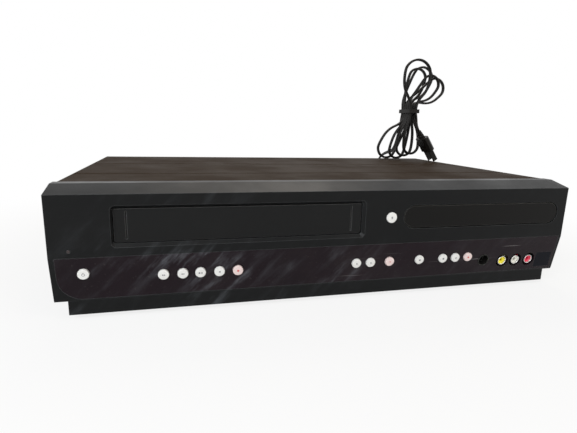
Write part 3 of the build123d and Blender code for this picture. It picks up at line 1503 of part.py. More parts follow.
with BuildPart() as antenna_sockets:
    with BuildSketch(back(-rear_wall)):
        with Locations((antenna_places[0][0], (antenna_z[0] + antenna_z[1]) / 2)):
            Rectangle(antenna_block_side, antenna_z[1] - antenna_z[0] + antenna_block_side)
    extrude(amount=-antenna_block)
    with BuildSketch(back(-rear_wall)):
        with Locations(*antenna_places):
            RegularPolygon(antenna_radius + flange_rim, flange_sides)
    extrude(amount=rear_wall + flange_proud)
    with BuildSketch(back(0)):
        with Locations(*antenna_places):
            Circle(antenna_radius)
    extrude(amount=socket_reach)
    with BuildSketch(back(socket_reach)):
        with Locations(*antenna_places):
            RegularPolygon(antenna_bore_radius, 8)
    extrude(amount=-antenna_bore, mode=Mode.SUBTRACT)
finish(antenna_sockets, "antenna_sockets")

# ================================================================ mains lead, its relief, hank and plug
with BuildPart() as strain_relief:
    with BuildSketch(back(-rear_wall - relief_wall)):
        with Locations((-relief_x, relief_z)):
            RegularPolygon(relief_hole, relief_sides)
    extrude(amount=rear_wall + relief_wall)
    with BuildSketch(back(0)):
        with Locations((-relief_x, relief_z)):
            RegularPolygon(relief_hole + relief_rim, relief_sides)
    extrude(amount=relief_flange)
    # the tail narrows towards the lead in steps
    for step in range(relief_steps):
        step_radius = relief_hole + (lead_radius + 0.5 - relief_hole) * step / (relief_steps - 1)
        step_foot = relief_flange + (relief_length - relief_flange) * step / relief_steps
        with BuildSketch(back(step_foot)):
            with Locations((-relief_x, relief_z)):
                RegularPolygon(step_radius, relief_sides)
        extrude(amount=(relief_length - relief_flange) / relief_steps)
    with BuildSketch(back(-rear_wall)):
        with Locations((-relief_x, relief_z)):
            RegularPolygon(relief_hole + relief_rim, relief_sides)
    extrude(amount=-relief_wall)
finish(strain_relief, "strain_relief")

# The lead leaves its relief, bows out behind the cabinet, leans over the cover's edge and joins the hank.
middle_row = (lead_rows - 1) // 2
row_y = [back_y - waist_in + (middle_row - row) * lead_row_pitch for row in range(lead_rows)]
waist_left = waist_x - lead_column
waist_right = waist_x + lead_column


def loop_points(row, lean, reach, width, up, next_row):
    """Points with directions round one loop, which leaves the waist on one side and comes back on the other.

    lean is its tilt to the right in degrees, up is 1 over the waist and -1 below it. The loop starts in one
    row and ends in next_row, and climbs between them along its outer bend.
    """
    tilt = math.radians(lean)
    along = (math.sin(tilt), up * math.cos(tilt))
    across = (math.cos(tilt), -up * math.sin(tilt))
    side = 1 if up < 0 else -1  # the side on which it leaves the waist
    radius = width / 2
    straight = reach - radius
    knots = [
        (straight, side * radius, 1.0, 0.0, 0.1),
        (reach, 0.0, 0.0, -side, 0.5),
        (straight, -side * radius, -1.0, 0.0, 0.9),
    ]
    first_y, last_y = row_y[row], row_y[next_row]
    points = []
    for out, sideways, run, turn, share in knots:
        x = waist_x + along[0] * out + across[0] * sideways
        z = waist_z + along[1] * out + across[1] * sideways
        y = first_y + (last_y - first_y) * share
        heading = Vector(
            along[0] * run + across[0] * turn,
            (last_y - first_y) * (0.4 if turn else 0.08) / radius,
            along[1] * run + across[1] * turn,
        ).normalized()
        points.append((Vector(x, y, z), heading))
    return points


hank = []
for loop, (lean, reach, width) in enumerate(upper_loops):
    hank.append((Vector(waist_left, row_y[loop], waist_z), Vector(0.12, 0, 1).normalized()))
    hank.extend(loop_points(loop, lean, reach, width, 1, loop))
    hank.append((Vector(waist_right, row_y[loop], waist_z), Vector(-0.12, 0, -1).normalized()))
    if loop < len(lower_loops):
        lean, lift, width = lower_loops[loop]
        drop = waist_z - top_height - lead_radius - lift - width / 2
        reach = width / 2 + drop / math.cos(math.radians(lean))
        hank.extend(loop_points(loop, lean, reach, width, -1, loop + 1))

plug_tilt = math.radians(plug_lean)
plug_run = Vector(math.sin(plug_tilt), 0, -math.cos(plug_tilt))
plug_length = plug_relief + plug_body + blade_length
plug_drop = plug_length * math.cos(plug_tilt) + blade_width / 2 * math.sin(plug_tilt)
plug_start = Vector(waist_x + plug_right, row_y[-1] - plug_front, top_height + sheet_gap + plug_drop)
hank.append((plug_start, plug_run))


def biarc(start, start_heading, end, end_heading):
    """Two arcs that join two points smoothly: the point where they meet, and a point on each of them."""
    gap = end - start
    total = start_heading + end_heading
    aligned = 2 * (1 - start_heading.dot(end_heading))
    if abs(aligned) < 1e-9:
        reach = gap.dot(gap) / (4 * gap.dot(end_heading))
    else:
        root = gap.dot(total) ** 2 + aligned * gap.dot(gap)
        reach = (-gap.dot(total) + math.sqrt(root)) / aligned
    first = start + start_heading * reach
    second = end - end_heading * reach
    return (first + second) / 2


def arc_middle(start, heading, end):
    """The middle of the arc that leaves start along heading and reaches end."""
    chord = end - start
    rise = heading - chord * (heading.dot(chord) / chord.dot(chord))
    turn = heading.get_angle(chord)
    if turn < 1e-6:
        return (start + end) / 2
    return (start + end) / 2 + rise.normalized() * (chord.length / 2 * math.tan(math.radians(turn) / 2))


hank_points = []
hank_length = 0.0
tightest = 1e9
with BuildPart() as lead_hank:
    with BuildLine() as hank_path:
        for (a, a_heading), (b, b_heading) in zip(hank, hank[1:]):
            meet = biarc(a, a_heading, b, b_heading)
            b_turn = b_heading * -1
            for start, heading, end in ((a, a_heading, meet), (b, b_turn, meet)):
                middle = arc_middle(start, heading, end)
                if start is a:
                    piece = ThreePointArc(start, middle, end)
                else:
                    piece = ThreePointArc(end, middle, start)
                hank_length += piece.length
                tightest = min(tightest, piece.radius)
                hank_points += [piece.position_at(step / 6) for step in range(6)]
    with BuildSketch(Plane(origin=hank[0][0], z_dir=hank[0][1])):
        RegularPolygon(lead_radius, lead_sides)
    sweep(path=hank_path.wires()[0])
closest = 1e9
for i, p in enumerate(hank_points):
    for j in range(i + 12, len(hank_points)):
        closest = min(closest, (p - hank_points[j]).length)
print("hank length", round(hank_length, 1), "tightest bend", round(tightest, 2))
print("least gap of the hank to itself", round(closest - 2 * lead_radius, 2))
lead_section = lead_sides / 2 * lead_radius**2 * math.sin(2 * math.pi / lead_sides)
print("hank volume against section times length", lead_hank.part.volume / (lead_section * hank_length))
finish(lead_hank, "lead_hank")

with BuildPart() as lead_tie:
    with BuildSketch(level(waist_z - tie_height / 2)):
        with Locations((waist_x, (row_y[0] + row_y[-1]) / 2)):
            tie_x = 2 * (lead_column + lead_radius + tie_gap)
            tie_y = row_y[0] - row_y[-1] + 2 * (lead_radius + tie_gap)
            Rectangle(tie_x + 2 * tie_wall, tie_y + 2 * tie_wall)
            Rectangle(tie_x, tie_y, mode=Mode.SUBTRACT)
    extrude(amount=tie_height)
finish(lead_tie, "lead_tie")

plug_plane = Plane(origin=plug_start, x_dir=(0, 1, 0), z_dir=plug_run)
with BuildPart() as plug:
    for step in range(plug_steps):
        with BuildSketch(plug_plane.offset(plug_relief * step / plug_steps)):
            RegularPolygon(lead_radius + 1.0 + 0.5 * step, 8)
        extrude(amount=plug_relief / plug_steps)
    with BuildSketch(plug_plane.offset(plug_relief)):
        cut_corners(plug_width, plug_thickness, plug_corner)
    extrude(amount=plug_body)
    with BuildSketch(plug_plane.offset(plug_relief + plug_body)):
        with GridLocations(blade_spacing, 0, 2, 1):
            Rectangle(blade_wall, blade_width)
    extrude(amount=blade_length)
finish(plug, "plug")

# The free stretch from the strain relief to the hank, as runs joined by arcs as large as the runs allow.
route_end = hank[0][0]
route = [
    Vector(relief_x, rear_y + relief_length, relief_z),
    Vector(relief_x, rear_y + 47.0, relief_z),
    Vector(relief_x + 0.5, rear_y + 63.0, relief_z + 17.0),
    Vector(relief_x + 1.0, rear_y + 61.0, relief_z + 40.0),
    Vector(relief_x + 1.5, rear_y + 45.0, top_height + 1.5),
    Vector(relief_x + 2.0, rear_y + 24.0, top_height + 8.0),
    Vector(relief_x + 1.0, rear_y + 4.0, top_height + 11.5),
    route_end - hank[0][1] * 30.0,
    route_end,
]
radii = []
for before, corner, after in zip(route, route[1:], route[2:]):
    turn = math.radians((corner - before).get_angle(after - corner))
    shorter = min((corner - before).length, (after - corner).length)
    radii.append(0.45 * shorter / math.tan(turn / 2))
print("radii of the lead", [round(r, 1) for r in radii])

with BuildPart() as lead:
    with BuildLine() as lead_path:
        FilletPolyline(*route, radius=radii)
    with BuildSketch(Plane(origin=route[0], z_dir=route[1] - route[0])):
        RegularPolygon(lead_radius, lead_sides)
    sweep(path=lead_path.wires()[0])
lead_length = lead_path.wires()[0].length
print("lead length", round(lead_length, 1), "whole cord", round(lead_length + hank_length, 1))
print("lead volume against section times length", lead.part.volume / (lead_section * lead_length))
finish(lead, "lead")
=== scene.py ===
"""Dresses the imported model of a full-width player for discs and video cassettes."""

import json
import math

import bmesh
import bpy
from mathutils import Matrix, Vector


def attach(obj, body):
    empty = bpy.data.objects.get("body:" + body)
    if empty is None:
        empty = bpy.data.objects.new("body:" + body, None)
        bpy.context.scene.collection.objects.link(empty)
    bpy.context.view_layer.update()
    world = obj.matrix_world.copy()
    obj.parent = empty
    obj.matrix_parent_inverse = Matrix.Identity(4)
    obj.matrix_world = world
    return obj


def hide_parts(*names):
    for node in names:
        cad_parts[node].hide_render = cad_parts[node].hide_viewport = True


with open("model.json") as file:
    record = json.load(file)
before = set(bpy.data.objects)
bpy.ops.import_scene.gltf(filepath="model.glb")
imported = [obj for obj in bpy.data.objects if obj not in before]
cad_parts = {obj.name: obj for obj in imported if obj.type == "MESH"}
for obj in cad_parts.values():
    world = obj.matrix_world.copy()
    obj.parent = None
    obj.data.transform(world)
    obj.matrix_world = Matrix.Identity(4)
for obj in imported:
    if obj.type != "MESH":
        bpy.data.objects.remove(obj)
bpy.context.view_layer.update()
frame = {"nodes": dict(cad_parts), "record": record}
scene = bpy.context.scene
scene.view_settings.view_transform = "Standard"

# ---------------------------------------------------------------- camera
camera_lens = bpy.data.cameras.new("camera")
camera_lens.sensor_width = 36.0
camera_lens.lens = 26.638
camera_lens.clip_start = 0.01
camera = bpy.data.objects.new("camera", camera_lens)
camera.location = (-0.1276, -0.45485, 0.1452)
camera.rotation_euler = [math.radians(a) for a in (77.742, -1.491, -14.168)]
scene.collection.objects.link(camera)
scene.camera = camera

# ---------------------------------------------------------------- floor, lamps and world
def background_rays(tree):
    """One for what the camera, a mirror or clear glass sees, and zero for the light that falls on the object."""
    rays = tree.nodes.new("ShaderNodeLightPath")
    total = rays.outputs["Is Camera Ray"]
    for label in ("Is Glossy Ray", "Is Transmission Ray"):
        adder = tree.nodes.new("ShaderNodeMath")
        adder.operation = "ADD"
        adder.use_clamp = True
        tree.links.new(total, adder.inputs[0])
        tree.links.new(rays.outputs[label], adder.inputs[1])
        total = adder.outputs[0]
    return total


bpy.ops.mesh.primitive_plane_add(size=12.0, location=(0, 0, 0))
floor = bpy.context.object
floor.name = "floor"
floor_paint = bpy.data.materials.new("floor_paint")
floor_paint.use_nodes = True
floor_tree = floor_paint.node_tree
floor_tree.nodes.clear()
floor_out = floor_tree.nodes.new("ShaderNodeOutputMaterial")
floor_matt = floor_tree.nodes.new("ShaderNodeBsdfDiffuse")
floor_matt.inputs["Color"].default_value = (0.80, 0.80, 0.80, 1)
floor_glow = floor_tree.nodes.new("ShaderNodeEmission")
floor_glow.inputs["Color"].default_value = (1, 1, 1, 1)
floor_glow.inputs["Strength"].default_value = 1.0
# seen directly the floor fades to the white of the background, and keeps the shadow close to the object
floor_place = floor_tree.nodes.new("ShaderNodeTexCoord")
floor_reach = floor_tree.nodes.new("ShaderNodeVectorMath")
floor_reach.operation = "LENGTH"
floor_fade = floor_tree.nodes.new("ShaderNodeMapRange")
floor_fade.interpolation_type = "SMOOTHSTEP"
floor_fade.inputs["From Min"].default_value = 0.20
floor_fade.inputs["From Max"].default_value = 0.60
floor_fade.inputs["To Min"].default_value = 0.80
floor_fade.inputs["To Max"].default_value = 1.0
floor_share = floor_tree.nodes.new("ShaderNodeMath")
floor_share.operation = "MULTIPLY"
floor_mix = floor_tree.nodes.new("ShaderNodeMixShader")
floor_tree.links.new(floor_place.outputs["Object"], floor_reach.inputs[0])
floor_tree.links.new(floor_reach.outputs["Value"], floor_fade.inputs["Value"])
floor_tree.links.new(floor_fade.outputs["Result"], floor_share.inputs[0])
floor_tree.links.new(background_rays(floor_tree), floor_share.inputs[1])
floor_tree.links.new(floor_share.outputs[0], floor_mix.inputs["Fac"])
floor_tree.links.new(floor_matt.outputs["BSDF"], floor_mix.inputs[1])
floor_tree.links.new(floor_glow.outputs["Emission"], floor_mix.inputs[2])
floor_tree.links.new(floor_mix.outputs["Shader"], floor_out.inputs["Surface"])
floor.data.materials.append(floor_paint)


def lamp(name, place, target, size, power, colour=(1, 1, 1)):
    """A square soft lamp at place that points at target."""
    light = bpy.data.lights.new(name, "AREA")
    light.size = size
    light.energy = power
    light.color = colour
    holder = bpy.data.objects.new(name, light)
    holder.location = place
    aim = Vector(target) - Vector(place)
    holder.rotation_euler = aim.to_track_quat("-Z", "Y").to_euler()
    scene.collection.objects.link(holder)
    return holder


lamp("key_lamp", (-1.0, -1.3, 1.0), (-0.12, 0, 0.05), 1.0, 30.0, (0.93, 0.97, 1.0))
lamp("fill_lamp", (1.3, -1.5, 1.1), (0.1, 0, 0.05), 1.3, 15.0, (1.0, 0.93, 0.84))
lamp("back_lamp", (0.3, 1.5, 1.7), (0, 0, 0.05), 1.2, 9.0, (1.0, 0.90, 0.78))

world = bpy.data.worlds.new("studio")
scene.world = world
world.use_nodes = True
sky = world.node_tree
sky.nodes.clear()
sky_out = sky.nodes.new("ShaderNodeOutputWorld")
sky_pale = sky.nodes.new("ShaderNodeBackground")
sky_pale.inputs["Color"].default_value = (1, 1, 1, 1)
sky_pale.inputs["Strength"].default_value = 1.0
sky_soft = sky.nodes.new("ShaderNodeBackground")
sky_soft.inputs["Color"].default_value = (1.0, 0.96, 0.91, 1)
sky_soft.inputs["Strength"].default_value = 0.30
sky_mix = sky.nodes.new("ShaderNodeMixShader")
sky.links.new(background_rays(sky), sky_mix.inputs["Fac"])
sky.links.new(sky_soft.outputs["Background"], sky_mix.inputs[1])
sky.links.new(sky_pale.outputs["Background"], sky_mix.inputs[2])
sky.links.new(sky_mix.outputs["Shader"], sky_out.inputs["Surface"])


# ---------------------------------------------------------------- mains lead
def mm(x, y, z):
    """A point in metres from millimetres."""
    return Vector((x, y, z)) / 1000.0


row_y = [97.75 + (2 - row) * 5.3 for row in range(5)]
column = 3.6
waist_x, waist_z = 184.5, 166.4
cover_top, lead_half = 99.5, 2.2
upper_loops = ((26.0, 66.0, 30.0), (14.0, 59.0, 26.0), (49.0, 62.0, 27.0), (36.0, 57.0, 25.0), (3.0, 67.0, 39.0))
lower_loops = ((-27.0, 0.3, 29.0), (-14.0, 0.3, 25.0), (-6.0, 4.0, 25.0), (3.0, 7.0, 25.0))


def loop_controls(lean, reach, width, up, first_y, last_y):
    """Control points of one loop of the hank, which leaves the waist on one side and comes back on the other."""
    tilt = math.radians(lean)
    along = (math.sin(tilt), up * math.cos(tilt))
    across = (math.cos(tilt), -up * math.sin(tilt))
    side = 1 if up < 0 else -1
    radius = width / 2
    straight = reach - radius
    turns = ((75, 0.2), (45, 0.32), (15, 0.44), (-15, 0.56), (-45, 0.68), (-75, 0.8))
    bend = [(math.radians(a), s) for a, s in turns]
    swell = radius / math.cos(math.radians(15))
    steps = [(straight * 0.62, side * radius * 0.93, 0.05)]
    steps += [(straight + swell * math.cos(a), side * swell * math.sin(a), share) for a, share in bend]
    steps += [(straight * 0.62, -side * radius * 0.93, 0.95)]
    points = [(waist_x + side * (column + 0.12 * straight * 0.28), first_y, waist_z + up * straight * 0.28)]
    for out, sideways, share in steps:
        points.append(
            (
                waist_x + along[0] * out + across[0] * sideways,
                first_y + (last_y - first_y) * share,
                waist_z + along[1] * out + across[1] * sideways,
            )
        )
    points.append((waist_x - side * (column + 0.12 * straight * 0.28), last_y, waist_z + up * straight * 0.28))
    return points


hank = []
for loop, (lean, reach, width) in enumerate(upper_loops):
    hank.append((waist_x - column, row_y[loop], waist_z))
    hank += loop_controls(lean, reach, width, 1, row_y[loop], row_y[loop])
    hank.append((waist_x + column, row_y[loop], waist_z))
    if loop < len(lower_loops):
        lean, lift, width = lower_loops[loop]
        drop = waist_z - cover_top - lead_half - lift - width / 2
        reach = width / 2 + drop / math.cos(math.radians(lean))
        hank += loop_controls(lean, reach, width, -1, row_y[loop], row_y[loop + 1])

plug_tilt = math.radians(34.0)
plug_run = (math.sin(plug_tilt), 0.0, -math.cos(plug_tilt))
plug_drop = 46.0 * math.cos(plug_tilt) + 6.3 / 2 * math.sin(plug_tilt)
plug_start = (187.2, row_y[-1] - 14.5, cover_top + 0.3 + plug_drop)
route = [
    (178.0, 143.25, 44.0),
    (178.0, 166.25, 44.0),
    (178.5, 182.25, 61.0),
    (179.0, 180.25, 84.0),
    (179.5, 164.25, 101.0),
    (180.0, 143.25, 107.5),
    (179.0, 123.25, 111.0),
    (waist_x - column - 3.6, row_y[0], waist_z - 29.8),
]
tail = [
    (waist_x + column + 0.8, row_y[-1] - 1.5, waist_z - 8.0),
    tuple(plug_start[i] - plug_run[i] * 8.0 for i in range(3)),
    plug_start,
]

line = bpy.data.curves.new("lead_line", "CURVE")
line.dimensions = "3D"
line.resolution_u = 6
points = [mm(*p) for p in route + hank + tail]
spline = line.splines.new("NURBS")
spline.points.add(len(points) - 1)
for place, p in zip(spline.points, points):
    place.co = (*p, 1.0)
spline.order_u = 3
spline.use_endpoint_u = True
line_holder = bpy.data.objects.new("lead_line", line)
scene.collection.objects.link(line_holder)
bpy.context.view_layer.update()
line_mesh = bpy.data.meshes.new_from_object(line_holder)
lead_path = [v.co.copy() for v in line_mesh.vertices]
bpy.data.objects.remove(line_holder)

lead_width, lead_thickness = 0.0050, 0.0029


def flat_lead_section():
    """Outline of a two-core lead: two round cores side by side with a groove between them, as (wide, thin)."""
    core = lead_thickness / 2
    apart = lead_width / 2 - core
    outline = []
    for step in range(9):
        a = math.radians(-100 + 25 * step)
        outline.append((apart + core * math.cos(a), core * math.sin(a)))
    outline.append((0.0, core * 0.78))
    for step in range(9):
        a = math.radians(80 + 25 * step)
        outline.append((-apart + core * math.cos(a), core * math.sin(a)))
    outline.append((0.0, -core * 0.78))
    return outline


def lead_mesh(path, name):
    """A flat lead along the path; its wide side faces sideways at the relief and back to front in the hank."""
    section = flat_lead_section()
    mesh = bpy.data.meshes.new(name)
    shape = bmesh.new()
    along_uv = shape.loops.layers.uv.new("UVMap")
    rings, lengths = [], []
    run = 0.0
    for i, p in enumerate(path):
        ahead = path[min(i + 1, len(path) - 1)] - path[max(i - 1, 0)]
        ahead.normalize()
        if i:
            run += (p - path[i - 1]).length
        share = min(1.0, max(0.0, run / 0.13))
        share = share * share * (3 - 2 * share)
        quarter = share * math.pi / 2
        wide = Vector((math.cos(quarter), math.sin(quarter), 0.15 * math.sin(share * math.pi)))
        wide = (wide - ahead * wide.dot(ahead)).normalized()
        thin = ahead.cross(wide)
        rings.append([shape.verts.new(p + wide * w + thin * t) for w, t in section])
        lengths.append(run)
    count = len(section)
    for i in range(len(rings) - 1):
        for k in range(count):
            j = (k + 1) % count
            face = shape.faces.new((rings[i][k], rings[i][j], rings[i + 1][j], rings[i + 1][k]))
            corners = ((i, k), (i, k + 1), (i + 1, k + 1), (i + 1, k))
            for corner, (a, b) in zip(face.loops, corners):
                corner[along_uv].uv = (b / count, lengths[a] * 100.0)
    shape.faces.new(list(reversed(rings[0])))
    shape.faces.new(rings[-1])
    bmesh.ops.recalc_face_normals(shape, faces=shape.faces)
    shape.to_mesh(mesh)
    shape.free()
    mesh.polygons.foreach_set("use_smooth", [True] * len(mesh.polygons))
    piece = bpy.data.objects.new(name, mesh)
    scene.collection.objects.link(piece)
    return piece


mains_lead = lead_mesh(lead_path, "mains_lead")


# ---------------------------------------------------------------- effects that the finishes share
def make_group(name, inputs, outputs):
    """An empty shader group with named sockets: each input as (name, kind, default)."""
    group = bpy.data.node_groups.new(name, "ShaderNodeTree")
    for label, kind, value in inputs:
        socket = group.interface.new_socket(label, in_out="INPUT", socket_type=kind)
        if value is not None:
            socket.default_value = value
    for label, kind in outputs:
        group.interface.new_socket(label, in_out="OUTPUT", socket_type=kind)
    return group, group.nodes.new("NodeGroupInput"), group.nodes.new("NodeGroupOutput")


def add_math(tree, operation, a, b, clamp=False):
    """A math node; a and b are sockets or numbers."""
    node = tree.nodes.new("ShaderNodeMath")
    node.operation = operation
    node.use_clamp = clamp
    for index, value in enumerate((a, b)):
        if isinstance(value, (int, float)):
            node.inputs[index].default_value = value
        else:
            tree.links.new(value, node.inputs[index])
    return node.outputs[0]


def add_range(tree, value, low, high, out_low, out_high):
    """A smooth map of a value from one range to another."""
    node = tree.nodes.new("ShaderNodeMapRange")
    node.interpolation_type = "SMOOTHSTEP"
    node.inputs["From Min"].default_value = low
    node.inputs["From Max"].default_value = high
    node.inputs["To Min"].default_value = out_low
    node.inputs["To Max"].default_value = out_high
    tree.links.new(value, node.inputs["Value"])
    return node.outputs["Result"]


def add_noise(tree, vector, scale, detail=2.0, rough=0.5):
    """A noise node on a vector."""
    node = tree.nodes.new("ShaderNodeTexNoise")
    node.inputs["Scale"].default_value = scale
    node.inputs["Detail"].default_value = detail
    node.inputs["Roughness"].default_value = rough
    tree.links.new(vector, node.inputs["Vector"])
    return node.outputs["Fac"]


def make_grain():
    """Fine moulded or painted texture: a height for bump and a slow mottle."""
    group, start, end = make_group(
        "grain",
        [("Vector", "NodeSocketVector", None), ("Size", "NodeSocketFloat", 900.0)],
        [("Height", "NodeSocketFloat"), ("Mottle", "NodeSocketFloat")],
    )
    scaled = group.nodes.new("ShaderNodeVectorMath")
    scaled.operation = "SCALE"
    group.links.new(start.outputs["Vector"], scaled.inputs[0])
    group.links.new(start.outputs["Size"], scaled.inputs["Scale"])
    fine = add_noise(group, scaled.outputs["Vector"], 1.0, 3.0, 0.6)
    slow = add_noise(group, start.outputs["Vector"], 14.0, 4.0, 0.6)
    group.links.new(fine, end.inputs["Height"])
    group.links.new(slow, end.inputs["Mottle"])
    return group


def make_dust():
    """Dust that settles on what faces up, as a haze with specks."""
    group, start, end = make_group(
        "dust",
        [("Vector", "NodeSocketVector", None), ("Amount", "NodeSocketFloat", 0.3)],
        [("Mask", "NodeSocketFloat")],
    )
    haze = add_range(group, add_noise(group, start.outputs["Vector"], 22.0, 5.0, 0.65), 0.42, 0.75, 0.1, 1.0)
    specks = add_range(group, add_noise(group, start.outputs["Vector"], 620.0, 1.0, 0.4), 0.70, 0.76, 0.0, 1.0)
    surface = group.nodes.new("ShaderNodeNewGeometry")
    split = group.nodes.new("ShaderNodeSeparateXYZ")
    group.links.new(surface.outputs["Normal"], split.inputs["Vector"])
    upward = add_range(group, split.outputs["Z"], 0.1, 0.9, 0.25, 1.0)
    both = add_math(group, "ADD", add_math(group, "MULTIPLY", haze, 0.45), specks, clamp=True)
    lying = add_math(group, "MULTIPLY", both, upward)
    group.links.new(add_math(group, "MULTIPLY", lying, start.outputs["Amount"], clamp=True), end.inputs["Mask"])
    return group


def make_scratches():
    """Short light scratches along X, as a mask."""
    group, start, end = make_group(
        "scratches",
        [("Vector", "NodeSocketVector", None), ("Amount", "NodeSocketFloat", 0.5)],
        [("Mask", "NodeSocketFloat")],
    )
    masks = []
    for turn, width in ((0.35, 520.0), (-0.6, 420.0)):
        lay = group.nodes.new("ShaderNodeMapping")
        lay.inputs["Rotation"].default_value = (0.0, turn, 0.0)
        lay.inputs["Scale"].default_value = (9.0, 9.0, width)
        group.links.new(start.outputs["Vector"], lay.inputs["Vector"])
        masks.append(add_range(group, add_noise(group, lay.outputs["Vector"], 1.0, 2.0, 0.5), 0.70, 0.78, 0.0, 1.0))
    patches = add_range(group, add_noise(group, start.outputs["Vector"], 16.0, 2.0, 0.5), 0.48, 0.62, 0.0, 1.0)
    both = add_math(group, "MAXIMUM", masks[0], masks[1])
    shown = add_math(group, "MULTIPLY", both, patches)
    group.links.new(add_math(group, "MULTIPLY", shown, start.outputs["Amount"], clamp=True), end.inputs["Mask"])
    return group


def make_smears_and_glare():
    """Wiped dust and finger marks in slanting streaks, together with a painted glare of the cool key light, strongest
    low down at one place along X, fading from there.
    """
    group, start, end = make_group(
        "smears_and_glare",
        [
            ("Vector", "NodeSocketVector", None),
            ("Amount", "NodeSocketFloat", 0.5),
            ("Middle", "NodeSocketFloat", -0.11),
        ],
        [("Mask", "NodeSocketFloat")],
    )
    lay = group.nodes.new("ShaderNodeMapping")
    lay.vector_type = "TEXTURE"
    lay.inputs["Rotation"].default_value = (0.0, 0.75, 0.0)
    lay.inputs["Scale"].default_value = (1 / 110.0, 1 / 30.0, 1 / 26.0)
    group.links.new(start.outputs["Vector"], lay.inputs["Vector"])
    streaks = add_range(group, add_noise(group, lay.outputs["Vector"], 1.0, 5.0, 0.62), 0.45, 0.80, 0.0, 1.0)
    patches = add_range(group, add_noise(group, start.outputs["Vector"], 24.0, 3.0, 0.55), 0.40, 0.68, 0.15, 1.0)
    place = group.nodes.new("ShaderNodeSeparateXYZ")
    group.links.new(start.outputs["Vector"], place.inputs["Vector"])
    away = add_math(group, "ABSOLUTE", add_math(group, "SUBTRACT", place.outputs["X"], start.outputs["Middle"]), 0.0)
    # the place along X and the low band give the painted glare
    near = add_range(group, away, 0.02, 0.16, 1.0, 0.12)
    low = add_range(group, place.outputs["Z"], 0.048, 0.062, 1.0, 0.25)
    marked = add_math(group, "MULTIPLY", streaks, patches)
    shown = add_math(group, "MULTIPLY", marked, add_math(group, "MULTIPLY", near, low))
    group.links.new(add_math(group, "MULTIPLY", shown, start.outputs["Amount"], clamp=True), end.inputs["Mask"])
    return group


def make_edges():
    """Rounds the sharp edges in the shading and marks them, for rubbed paint and for a painted highlight along them."""
    group, start, end = make_group(
        "edges",
        [("Wear", "NodeSocketFloat", 0.3)],
        [("Normal", "NodeSocketVector"), ("Mask", "NodeSocketFloat")],
    )
    rounded = group.nodes.new("ShaderNodeBevel")
    rounded.samples = 4
    rounded.inputs["Radius"].default_value = 0.0005
    surface = group.nodes.new("ShaderNodeNewGeometry")
    match = group.nodes.new("ShaderNodeVectorMath")
    match.operation = "DOT_PRODUCT"
    group.links.new(rounded.outputs["Normal"], match.inputs[0])
    group.links.new(surface.outputs["Normal"], match.inputs[1])
    edge = add_range(group, match.outputs["Value"], 0.995, 0.90, 0.0, 1.0)
    group.links.new(rounded.outputs["Normal"], end.inputs["Normal"])
    group.links.new(add_math(group, "MULTIPLY", edge, start.outputs["Wear"], clamp=True), end.inputs["Mask"])
    return group


grain, dust, scratches, edges = make_grain(), make_dust(), make_scratches(), make_edges()
smears_and_glare = make_smears_and_glare()


def place_group(tree, group, vector=None, **values):
    """Puts a shared effect into a material with its own values."""
    node = tree.nodes.new("ShaderNodeGroup")
    node.node_tree = group
    if vector is not None:
        tree.links.new(vector, node.inputs["Vector"])
    for label, value in values.items():
        node.inputs[label.capitalize()].default_value = value
    return node


def mix_colours(tree, amount, first, second):
    """A colour between two; each is a socket or a colour."""
    node = tree.nodes.new("ShaderNodeMix")
    node.data_type = "RGBA"
    tree.links.new(amount, node.inputs[0])
    for socket, value in ((node.inputs[6], first), (node.inputs[7], second)):
        if isinstance(value, tuple):
            socket.default_value = (*value, 1.0)
        else:
            tree.links.new(value, socket)
    return node.outputs[2]


# bluish grey of the wipe marks, and of the painted glare of the cool key light
smear_and_glare_colour = (0.40, 0.43, 0.48)


